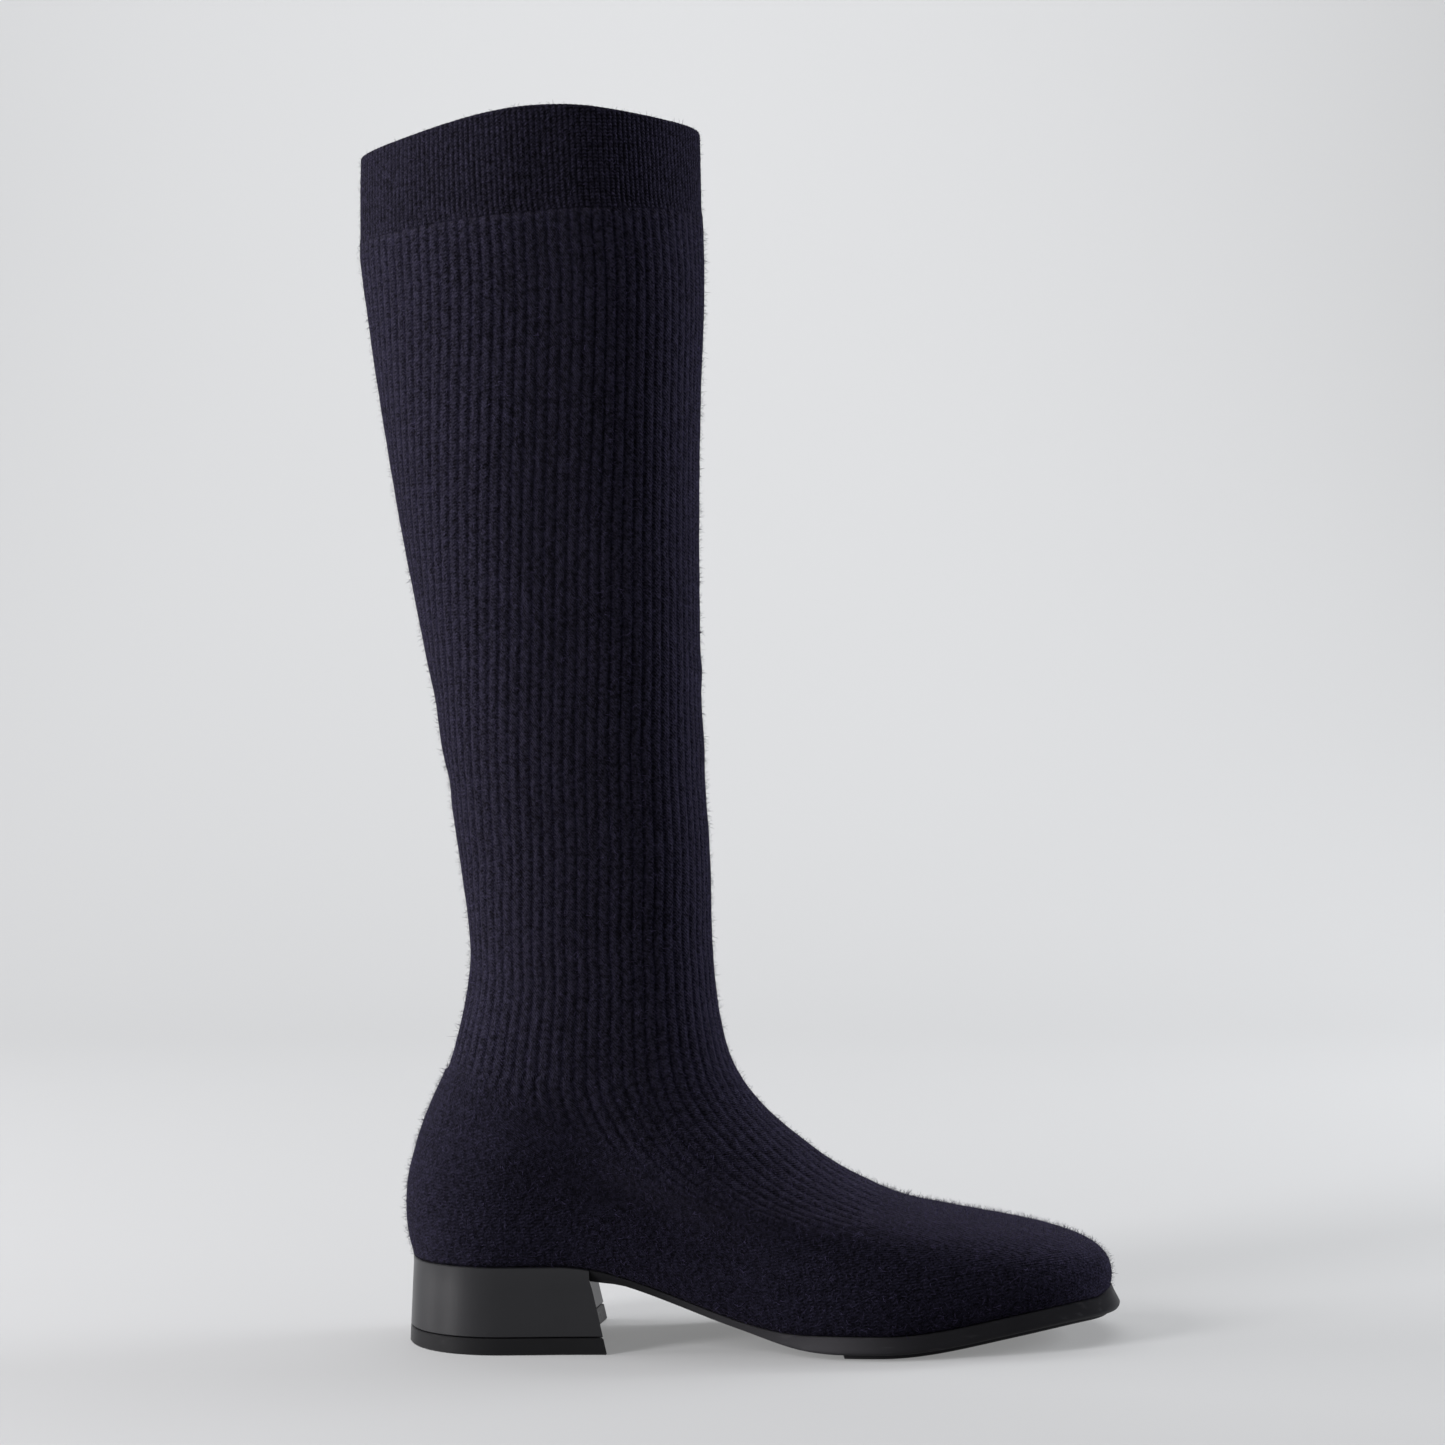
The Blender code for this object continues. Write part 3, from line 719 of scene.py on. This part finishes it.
def buildSole():
    start = seatShare(heelSizes["breast"] + soleSizes["clearance"])
    profile = (    # share of the flare, tuck in metres, share of the way down
        (0.0, 0.0004, 0.0), (0.03, 0.0, 0.05), (0.35, 0.0, 0.33), (0.75, 0.0, 0.60), (1.0, 0.0, 0.78),
        (1.0, 0.00015, 0.89), (1.0, 0.0006, 0.97), (1.0, soleSizes["edgeRound"], 1.0),
    )
    sole = slabPiece("soleBody", wallRows(start, profile), toeTurns(soleSizes["stations"]),
                     hollows=(heelSizes["hollow"], 0.0))
    padTurns = list(toeTurns(soleSizes["padStations"]))
    half = soleSizes["grooveWidth"] / 2 / lastSizes["footLength"]
    padStart = soleSizes["padStart"]
    lip = soleSizes["grooveLip"]
    grooves = [seatShare(share * lastSizes["footLength"]) for share in soleSizes["grooves"]]
    for groove in grooves:
        for edge in (-half - lip, -half, half, half + lip):
            padTurns.append((groove + edge - padStart) / (1.0 - padStart))
    padTurns = np.array(sorted(padTurns))
    inside = soleSizes["grooveReach"]
    near, far = (1 - inside) / 2, (1 + inside) / 2
    places = [0.0, 0.02, near - 0.008, near]
    places += list(np.linspace(near, far, 7)[1:-1])
    places += [far, far + 0.008, 0.98, 1.0]

    def dent(share, place):  # the cross grooves in the underside
        off = min(abs(share - groove) for groove in grooves)
        within = off < half + lip / 2 and abs(2 * place - 1) < inside + 0.001
        return soleSizes["grooveDepth"] if within else 0.0

    def padEdge(tuck):
        return lambda shares: soleOffset(shares) - soleSizes["edgeRound"] - soleSizes["padInset"] - tuck

    depth = lastSizes["ballSeat"] - soleSizes["foreThickness"]
    soft = soleSizes["padRound"]
    padLevels = [
        (padStart, 1.0, padEdge(0.0), lambda x: soleBottom(x) + soleSizes["padRoot"]),
        (padStart, 1.0, padEdge(0.0), lambda x: soleBottom(x) - depth + soft),
        (padStart, 1.0, padEdge(soft), lambda x: soleBottom(x) - depth),
    ]
    pad = slabPiece("treadPad", padLevels, padTurns, places, dent=dent)
    print("sole:", len(sole.data.polygons), "faces and pad:", len(pad.data.polygons))
    return sole, pad


def heelLevel(height, tuck=0.0):  # a level of the heel at a height over the floor, or along the sole
    waist = lastSizes["heelSeat"] - soleSizes["waistThickness"]
    drop = 0.0 if callable(height) else 1.0 - height / waist
    breast = seatShare(heelSizes["breast"] + heelSizes["slope"] * drop - tuck)
    margin = heelSizes["margin"] + heelSizes["flare"] * drop - tuck
    return (0.0, breast, lambda shares: margin, height if callable(height) else (lambda x: height))


def buildHeel():
    turns = np.linspace(0.0, 1.0, heelSizes["stations"] + 1) ** heelSizes["crowding"]
    foot = heelSizes["topLift"] + soleSizes["clearance"]
    soft = heelSizes["edgeRound"]
    waist = soleSizes["waistThickness"]
    levels = [heelLevel(soleTop, soft), heelLevel(lambda x: soleTop(x) - soft)]
    levels.append(heelLevel(lambda x: soleTop(x) - waist))
    levels += [heelLevel(height) for height in np.linspace(heelSizes["blockRow"], foot + soft, 7)[1:]]
    levels.append(heelLevel(foot, soft))
    block = slabPiece("heelBlock", levels, turns, hollows=(0.0, heelSizes["hollow"]))
    levels = [heelLevel(heelSizes["topLift"], soft), heelLevel(heelSizes["topLift"] - soft)]
    levels += [heelLevel(heelSizes["liftRow"]), heelLevel(soft * 1.5), heelLevel(0.0, soft * 1.5)]
    lift = slabPiece("topLift", levels, turns, hollows=(0.0, heelSizes["hollow"]))
    print("heel:", len(block.data.polygons), "faces and top lift:", len(lift.data.polygons))
    return block, lift


# Geometry Nodes: ribs raised from the columns, and the loose fibres over them

def startTree(name, inputs):
    tree = bpy.data.node_groups.new(name, "GeometryNodeTree")
    tree.interface.new_socket("Geometry", in_out="OUTPUT", socket_type="NodeSocketGeometry")
    tree.interface.new_socket("Geometry", in_out="INPUT", socket_type="NodeSocketGeometry")
    for label, kind in inputs:
        tree.interface.new_socket(label, in_out="INPUT", socket_type="NodeSocket" + kind)
    bench = Bench(tree)
    given = tree.nodes.new("NodeGroupInput")
    return tree, bench, {socket.name: Wire(bench, socket) for socket in given.outputs if socket.name}


def finishTree(bench, geometry, material):
    plain = bench.node("GeometryNodeRealizeInstances", None, {"Geometry": geometry})
    dressed = bench.node("GeometryNodeSetMaterial", None, {"Geometry": plain, "Material": material})
    bench.node("NodeGroupOutput", None, {"Geometry": dressed}, output=None)


def runTree(piece, tree, values):  # the tree's result as a plain mesh
    work = piece.modifiers.new("work", "NODES")
    work.node_group = tree
    for item in tree.interface.items_tree:
        if item.in_out == "INPUT" and item.name in values:
            work[item.identifier] = values[item.name]
    piece.update_tag()
    graph = bpy.context.evaluated_depsgraph_get()
    result = bpy.data.meshes.new_from_object(
        piece.evaluated_get(graph), preserve_all_data_layers=True, depsgraph=graph)
    piece.modifiers.remove(work)
    return result


def attributeWire(bench, name):
    return bench.node("GeometryNodeInputNamedAttribute", {"data_type": "FLOAT"}, {"Name": name})


def ribTree():
    inputs = (
        ("Ribs Per Turn", "Float"), ("Rib Depth", "Float"), ("Rib Squareness", "Float"),
        ("Ripple", "Float"), ("Ripple Scale", "Float"), ("Wander", "Float"), ("Material", "Material"),
    )
    tree, bench, given = startTree("raisedRibs", inputs)
    turn = attributeWire(bench, "ribTurn")
    reach = attributeWire(bench, "ribReach")
    tuck = attributeWire(bench, "tuck")
    place = bench.node("GeometryNodeInputPosition")
    wander = (bench.noise(place, given["Ripple Scale"] * 0.35, 2.0) - 0.5) * given["Wander"]
    phase = bench.calc("FRACT", turn * given["Ribs Per Turn"] + wander)
    ridge = 1.0 - bench.calc("ABSOLUTE", phase * 2.0 - 1.0) ** given["Rib Squareness"]
    ripple = (bench.noise(place, given["Ripple Scale"], 2.0) - 0.5) * given["Ripple"]
    lift = (ridge - 0.45) * given["Rib Depth"] * reach - tuck + ripple
    normal = bench.node("GeometryNodeInputNormal")
    sockets = {"Geometry": given["Geometry"], "Offset": bench.scaled(normal, lift)}
    shaped = bench.node("GeometryNodeSetPosition", None, sockets)
    sockets = {"Geometry": shaped, "Name": "ridge", "Value": ridge}
    settings = {"data_type": "FLOAT", "domain": "POINT"}
    kept = bench.node("GeometryNodeStoreNamedAttribute", settings, sockets)
    finishTree(bench, kept, given["Material"])
    return tree


fibreShape = {"curl": 0.7, "sideCurl": -0.4, "taper": -0.7, "smallest": 0.4, "largest": 1.5}


def fibreTree():
    inputs = (
        ("Where", "String"), ("Count Per Square Metre", "Float"), ("Seed", "Int"),
        ("Length", "Float"), ("Width", "Float"), ("Lean", "Float"), ("Material", "Material"),
    )
    tree, bench, given = startTree("looseFibres", inputs)
    where = attributeWire(bench, given["Where"])
    sockets = {"Mesh": given["Geometry"], "Seed": given["Seed"]}
    sockets["Density"] = where * given["Count Per Square Metre"]
    spread = bench.node("GeometryNodeDistributePointsOnFaces", {"distribute_method": "RANDOM"}, sockets)
    turned = Wire(bench, spread.socket.node.outputs["Rotation"])
    sockets = {"Size X": given["Width"], "Size Y": given["Length"], "Vertices X": 2, "Vertices Y": 3}
    strip = bench.node("GeometryNodeMeshGrid", None, sockets)
    sockets = {"X": 0.0, "Y": given["Length"] * 0.5, "Z": 0.0}
    lifted = bench.node("GeometryNodeTransform", None, {
        "Geometry": strip, "Translation": bench.node("ShaderNodeCombineXYZ", None, sockets)})
    place = bench.node("GeometryNodeInputPosition")
    across, rise = bench.parts(place)[:2]
    bend = rise * rise / given["Length"] * fibreShape["curl"]
    narrow = across * (rise / given["Length"]) * fibreShape["taper"]
    sockets = {"X": narrow, "Y": bend * fibreShape["sideCurl"], "Z": bend}
    offset = bench.node("ShaderNodeCombineXYZ", None, sockets)
    bent = bench.node("GeometryNodeSetPosition", None, {"Geometry": lifted, "Offset": offset})
    sockets = {"Geometry": bent, "Rotation": (math.pi / 2, 0.0, 0.0)}
    upright = bench.node("GeometryNodeTransform", None, sockets)
    low, high = (
        bench.node("ShaderNodeCombineXYZ", None, {
            "X": given["Lean"] * way, "Y": given["Lean"] * way, "Z": 3.14 * way})
        for way in (-1.0, 1.0))
    sockets = {0: low, 1: high, "Seed": given["Seed"]}
    tilt = bench.node("FunctionNodeRandomValue", {"data_type": "FLOAT_VECTOR"}, sockets)
    tipped = bench.node("FunctionNodeEulerToRotation", None, {0: tilt})
    sockets = {"Rotation": turned, "Rotate By": tipped}
    turned = bench.node("FunctionNodeRotateRotation", {"rotation_space": "LOCAL"}, sockets)
    sockets = {2: fibreShape["smallest"], 3: fibreShape["largest"], "Seed": given["Seed"]}
    size = bench.node("FunctionNodeRandomValue", {"data_type": "FLOAT"}, sockets, 1)
    sockets = {"Points": spread, "Instance": upright, "Rotation": turned, "Scale": size}
    finishTree(bench, bench.node("GeometryNodeInstanceOnPoints", None, sockets), given["Material"])
    return tree


# Finishes of the knit, heel, rubber and insole

knitLook = {
    "ridge": (0.0208, 0.0190, 0.0345, 1.0),
    # the furrow colour is partly the yarn's own and partly painted shade in the ribs' recesses
    "furrowYarnAndShade": (0.0104, 0.0094, 0.0200, 1.0),
    "plain": (0.0142, 0.0130, 0.0250, 1.0),
    "fibre": (0.0440, 0.0400, 0.0720, 1.0),
    "waleMm": 1.35,
    "courseMm": 1.25,
    "slant": 0.45,               # how far a V stitch's arms rise, in courses
    "softScale": 55.0,
    "fineScale": 1500.0,
    "mottleScale": 620.0,
    "speckScale": 650.0,
    "roughness": 0.93,
    "sheen": 0.05,
    "sheenTint": (0.62, 0.54, 0.85, 1.0),
    "bump": (0.9, 0.0006),       # strength and distance
}


def stitchHeight(bench, across, up):  # rows of small V stitches: across in wales, up in courses
    wale = bench.calc("FRACT", across)
    off = bench.calc("ABSOLUTE", wale * 2.0 - 1.0)
    wave = bench.calc("SINE", (up + off * knitLook["slant"]) * (2.0 * math.pi)) * 0.5 + 0.5
    crown = 1.0 - off * off
    return wave * (crown * 0.55 + 0.45)


def knitMaterial(name, ribsPerTurn, walesPerRib, tone):
    material, bench = startMaterial(name)
    ribAcross, ribUp = bench.parts(bench.node("ShaderNodeUVMap", {"uv_map": "ribKnit"}))[:2]
    plainAcross, plainUp = bench.parts(bench.node("ShaderNodeUVMap", {"uv_map": "plainKnit"}))[:2]
    ridge = bench.node("ShaderNodeAttribute", {"attribute_name": "ridge"}, None, 2)
    reach = bench.node("ShaderNodeAttribute", {"attribute_name": "ribReach"}, None, 2)
    place = bench.objectPlace()
    soft = bench.noise(place, knitLook["softScale"], 3.0)
    fine = bench.noise(place, knitLook["fineScale"], 2.0, 0.6)
    mottled = bench.noise(place, knitLook["mottleScale"], 3.0, 0.75)
    speck = bench.noise(place, knitLook["speckScale"], 2.0, 0.65)
    ribStitch = stitchHeight(
        bench, ribAcross * ribsPerTurn * walesPerRib, ribUp / knitLook["courseMm"] + soft * 0.8)
    plainStitch = stitchHeight(
        bench, plainAcross / knitLook["waleMm"], plainUp / knitLook["courseMm"] + soft * 0.8)
    stitch = plainStitch + (ribStitch - plainStitch) * reach
    shade = bench.easedStep(ridge + (fine - 0.5) * 0.9 + (mottled - 0.5) * 0.5, 0.0, 1.0)
    # ridge colour on the raised ribs, furrow colour with painted shade in the recesses between them
    ribColour = bench.blend(shade, knitLook["furrowYarnAndShade"], knitLook["ridge"])
    colour = bench.blend(reach, knitLook["plain"], ribColour)
    mottle = bench.easedStep(mottled, 0.34, 0.66)
    # the colour is darkened between the stitches and in a random mottle
    lightness = (0.06 + stitch * 0.36 + mottle * 1.05 + soft * 0.34) * tone
    stitchMottleTone = bench.node("ShaderNodeCombineXYZ", None, {0: lightness, 1: lightness, 2: lightness})
    colour = bench.blend(1.0, colour, stitchMottleTone, "MULTIPLY")
    flecks = bench.easedStep(speck, 0.62, 0.80) * (0.35 + ridge * 0.3)
    colour = bench.blend(flecks, colour, knitLook["fibre"])
    bump = bench.bump(stitch * 0.60 + mottle * 0.55 + speck * 0.45, *knitLook["bump"])
    return finishMaterial(material, bench, {
        "Base Color": colour, "Roughness": knitLook["roughness"], "Normal": bump,
        "Sheen Weight": knitLook["sheen"], "Sheen Roughness": 0.45,
        "Sheen Tint": knitLook["sheenTint"], "Specular IOR Level": 0.07,
    })


def fibreMaterial(name, tone):
    material, bench = startMaterial(name)
    share = bench.noise(bench.objectPlace(), 260.0, 1.0)
    pale = tuple(min(value * 1.9, 1.0) for value in tone[:3]) + (1.0,)
    return finishMaterial(material, bench, {
        "Base Color": bench.blend(bench.easedStep(share, 0.4, 0.7), tone, pale), "Roughness": 0.85,
        "Specular IOR Level": 0.1,
    })


heelLook = {
    "dark": (0.006, 0.006, 0.008, 1.0),
    "pale": (0.011, 0.011, 0.014, 1.0),
    "gloss": 0.27,               # roughness where nothing has rubbed
    "specular": 0.52,
    "bump": (0.10, 0.0002),
}


def heelMaterial():
    material, bench = startMaterial("heelBlack")
    place = bench.objectPlace()
    streaks = bench.noise(bench.stretched(place, (1.0, 1.0, 0.06)), 520.0, 3.0)
    smudge = bench.noise(place, 60.0, 3.0)
    return finishMaterial(material, bench, {
        "Base Color": bench.blend(smudge, heelLook["dark"], heelLook["pale"]),
        "Roughness": heelLook["gloss"] + smudge * 0.07 + streaks * 0.05,
        "Normal": bench.bump(streaks + smudge * 0.5, *heelLook["bump"]),
        "Specular IOR Level": heelLook["specular"],
    })


soleLook = {
    "dark": (0.011, 0.011, 0.013, 1.0),
    "pale": (0.066, 0.064, 0.071, 1.0),
    "low": 0.46,                 # roughness where it is smoothest
    # a painted highlight along the sole's side: its start, full part, ebb and end, from the back of the
    # heel
    "paintedHighlight": (0.088, 0.118, 0.150, 0.190),
}
liftLook = {"dark": (0.011, 0.011, 0.012, 1.0), "pale": (0.019, 0.019, 0.021, 1.0), "low": 0.30}


def rubberMaterial(name, look):
    material, bench = startMaterial(name)
    place = bench.objectPlace()
    cloud = bench.noise(place, 45.0, 4.0)
    # painted highlight: the rubber turns paler in a band along the sole's side, in place of a reflection
    # there
    if "paintedHighlight" in look:
        start, full, ebbing, end = (heelBack + spot for spot in look["paintedHighlight"])
        along = bench.parts(place)[0]
        cloud = cloud * 0.30 + bench.easedStep(along, start, full) * bench.easedStep(along, end, ebbing)
    grain = bench.noise(place, 1400.0, 2.0)
    scratched = bench.noise(bench.stretched(place, (0.15, 1.0, 1.0)), 420.0, 3.0)
    scuff = bench.easedStep(scratched, 0.58, 0.75)
    return finishMaterial(material, bench, {
        "Base Color": bench.blend(cloud * 0.7 + scuff * 0.3, look["dark"], look["pale"]),
        "Roughness": look["low"] + cloud * 0.14 + scuff * 0.1,
        "Normal": bench.bump(grain + scuff * 0.6, 0.25, 0.0001),
        "Specular IOR Level": 0.15,
    })


clothLook = {
    "dark": (0.035, 0.033, 0.036, 1.0),
    "pale": (0.065, 0.062, 0.066, 1.0),
    "threads": 5200.0,           # turns of the weave's waves, in radians for each metre
    "bump": (0.4, 0.0003),
}


def clothMaterial():
    material, bench = startMaterial("insoleCloth")
    place = bench.objectPlace()
    along, across = (
        bench.calc("SINE", part * clothLook["threads"]) for part in bench.parts(place)[:2])
    cloud = bench.noise(place, 80.0, 4.0)
    return finishMaterial(material, bench, {
        "Base Color": bench.blend(cloud, clothLook["dark"], clothLook["pale"]),
        "Roughness": 0.8 + cloud * 0.1,
        "Normal": bench.bump(along * across * 0.5 + cloud, *clothLook["bump"]),
    })


# Putting the boot together

ribLook = {
    "shaftDepth": 0.00056,
    "cuffDepth": 0.00034,
    "squareness": 1.7,
    "cuffSquareness": 2.2,
    "ripple": 0.00036,
    "rippleScale": 240.0,
    "wander": 0.28,
}
fuzzLook = {
    "shaftCount": 400000.0,      # fibres for each square metre
    "footCount": 640000.0,
    "length": 0.0017,
    "width": 0.00011,
    "strayCount": 900.0,
    "strayLength": 0.0038,
}

navyKnit = knitMaterial("navyKnit", 1.0, 2.0, 1.0)
cuffKnit = knitMaterial("cuffKnit", 2.0, 1.0, 0.80)
navyFibre = fibreMaterial("navyFibre", (0.034, 0.029, 0.060, 1.0))
ribs = ribTree()
fibres = fibreTree()

knitUpper = buildUpper()
knitUpper.data = runTree(knitUpper, ribs, {
    "Ribs Per Turn": 1.0, "Rib Depth": ribLook["shaftDepth"], "Rib Squareness": ribLook["squareness"],
    "Ripple": ribLook["ripple"], "Ripple Scale": ribLook["rippleScale"], "Wander": ribLook["wander"],
    "Material": navyKnit,
})
collarCuff = buildCuff()
collarCuff.data = runTree(collarCuff, ribs, {
    "Ribs Per Turn": 2.0, "Rib Depth": ribLook["cuffDepth"], "Rib Squareness": ribLook["cuffSquareness"],
    "Ripple": ribLook["ripple"] * 0.6, "Ripple Scale": ribLook["rippleScale"],
    "Wander": ribLook["wander"] * 1.2, "Material": cuffKnit,
})


def growFibres(name, source, where, count, seed, length, lean):
    piece = placed(name, source.data.copy())
    piece.data = runTree(piece, fibres, {
        "Where": where, "Count Per Square Metre": count, "Seed": seed, "Length": length,
        "Width": fuzzLook["width"], "Lean": lean, "Material": navyFibre,
    })
    piece.data.name = name
    print(name, "has", len(piece.data.polygons), "faces")
    return piece


# piece, what it grows on, where, fibres for each square metre, seed, length and lean
fuzz = [growFibres(*row) for row in (
    ("shaftFuzz", knitUpper, "shaftFuzz", fuzzLook["shaftCount"], 11, fuzzLook["length"], 0.85),
    ("footFuzz", knitUpper, "footFuzz", fuzzLook["footCount"], 12, fuzzLook["length"], 0.7),
    ("cuffFuzz", collarCuff, "shaftFuzz", fuzzLook["shaftCount"], 13, fuzzLook["length"] * 0.8, 1.0),
    ("strayFibres", knitUpper, "shaftFuzz", fuzzLook["strayCount"], 14, fuzzLook["strayLength"], 0.9),
)]

heelGloss = heelMaterial()
soleRubber = rubberMaterial("soleRubber", soleLook)
liftRubber = rubberMaterial("liftRubber", liftLook)
insoleCloth = clothMaterial()
soleBody, treadPad = buildSole()
heelBlock, topLift = buildHeel()
for piece, node, slot, material in (
    (soleBody, "outsole", "sole_rubber", soleRubber),
    (treadPad, None, "sole_rubber", soleRubber),
    (heelBlock, "heel_block", "heel_plastic", heelGloss),
    (topLift, "top_lift", "lift_rubber", liftRubber),
):
    piece.data.materials.append(material)
    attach(piece, "root")
    if node:
        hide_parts(node)
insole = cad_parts["insole"].data
insole.materials.clear()
insole.materials.append(insoleCloth)

for piece in [knitUpper, collarCuff] + fuzz:
    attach(piece, "root")
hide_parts("upper")


# Floor, backdrop, light and camera

stageSizes = {
    "floor": (0.385, 0.390, 0.398, 1.0),
    "paintedFillGlow": 0.205,                # painted fill light: the floor and backdrop glow in place of the backdrop's bounce, which keeps the shadows pale
    "width": 6.0,
    "front": -3.0,
    "bendStart": 1.0,
    "bendRadius": 1.2,
    "bendSteps": 16,
    "height": 3.0,
}
lights = {                       # place, aim, size, watts, colour
    "leftBackBox": ((-1.5, 0.10, 0.60), (-0.03, 0.0, 0.2), (0.55, 1.3), 17.0, (1.0, 0.98, 0.985)),
    "leftFrontBox": ((-1.36, -0.72, 0.66), (-0.03, 0.0, 0.2), (0.36, 1.2), 23.0, (1.0, 0.98, 0.985)),
    "rightBox": ((1.6, 0.42, 0.40), (0.0, 0.0, 0.25), (0.8, 0.75), 35.0, (0.96, 0.975, 1.0)),
    "topBox": ((0.0, 0.35, 2.0), (0.0, 0.35, 0.0), (2.4, 1.6), 13.0, (1.0, 1.0, 1.0)),
    "backBox": ((0.0, 0.9, 2.3), (0.0, 2.2, 1.35), (3.0, 0.8), 47.0, (1.0, 1.0, 1.0)),
}
air = {"colour": (0.93, 0.96, 1.0, 1.0), "strength": 0.10}
camera = {
    "aim": (-0.0068, 0.0, 0.227),
    "distance": 1.05,
    "yaw": 2.5,
    "lens": 70.6,                # mm, as is the sensor
    "sensor": 36.0,
    "near": 0.05,
}


def buildStage():
    material, bench = startMaterial("paleFloor")
    cloud = bench.noise(bench.objectPlace(), 1.6, 2.0)
    tone = stageSizes["floor"]
    dim = tuple(value * 0.97 for value in tone[:3]) + (1.0,)
    # the emission is painted fill light that lifts the shadows on the floor and backdrop
    finishMaterial(material, bench, {
        "Base Color": bench.blend(cloud, dim, tone), "Roughness": 0.75, "Specular IOR Level": 0.2,
        "Emission Color": (1.0, 1.0, 1.0, 1.0), "Emission Strength": stageSizes["paintedFillGlow"],
    })
    start, radius, steps = stageSizes["bendStart"], stageSizes["bendRadius"], stageSizes["bendSteps"]
    line = [(stageSizes["front"], 0.0), (start, 0.0)]
    for step in range(1, steps + 1):
        angle = math.pi / 2 * step / steps
        line.append((start + radius * math.sin(angle), radius * (1 - math.cos(angle))))
    line.append((start + radius, stageSizes["height"]))
    half = stageSizes["width"] / 2
    spots = [(x, y, z) for y, z in line for x in (-half, half)]
    faces = [(2 * row, 2 * row + 1, 2 * row + 3, 2 * row + 2) for row in range(len(line) - 1)]
    data = bpy.data.meshes.new("studioFloor")
    data.from_pydata(spots, [], faces, shade_flat=False)
    data.materials.append(material)
    floor = placed("studioFloor", data)
    floor.visible_diffuse = False    # no light from the table reaches the dark front side in the photo


def buildLight():
    for name, (place, aim, size, watts, colour) in lights.items():
        data = bpy.data.lights.new(name, "AREA")
        data.shape = "RECTANGLE"
        data.size, data.size_y = size
        data.energy = watts
        data.color = colour
        lamp = placed(name, data)
        lamp.location = place
        lamp.rotation_euler = (Vector(aim) - Vector(place)).to_track_quat("-Z", "Y").to_euler()
    bpy.data.objects["rightBox"].visible_glossy = False    # the sole's tip stays dark in the photo
    world = bpy.data.worlds.new("studioAir")
    scene.world = world
    world.use_nodes = True
    background = world.node_tree.nodes["Background"].inputs
    background["Color"].default_value = air["colour"]
    background["Strength"].default_value = air["strength"]


def placeCamera():
    yaw = math.radians(camera["yaw"])
    looking = Vector((math.sin(yaw), math.cos(yaw), 0.0))
    data = bpy.data.cameras.new("photoCamera")
    data.lens = camera["lens"]
    data.sensor_width = camera["sensor"]
    data.sensor_fit = "HORIZONTAL"
    data.clip_start = camera["near"]
    eye = placed("photoCamera", data)
    eye.location = Vector(camera["aim"]) - looking * camera["distance"]
    eye.rotation_euler = looking.to_track_quat("-Z", "Y").to_euler()
    scene.camera = eye


buildStage()
buildLight()
placeCamera()
print("stage ready")

bpy.context.view_layer.update()
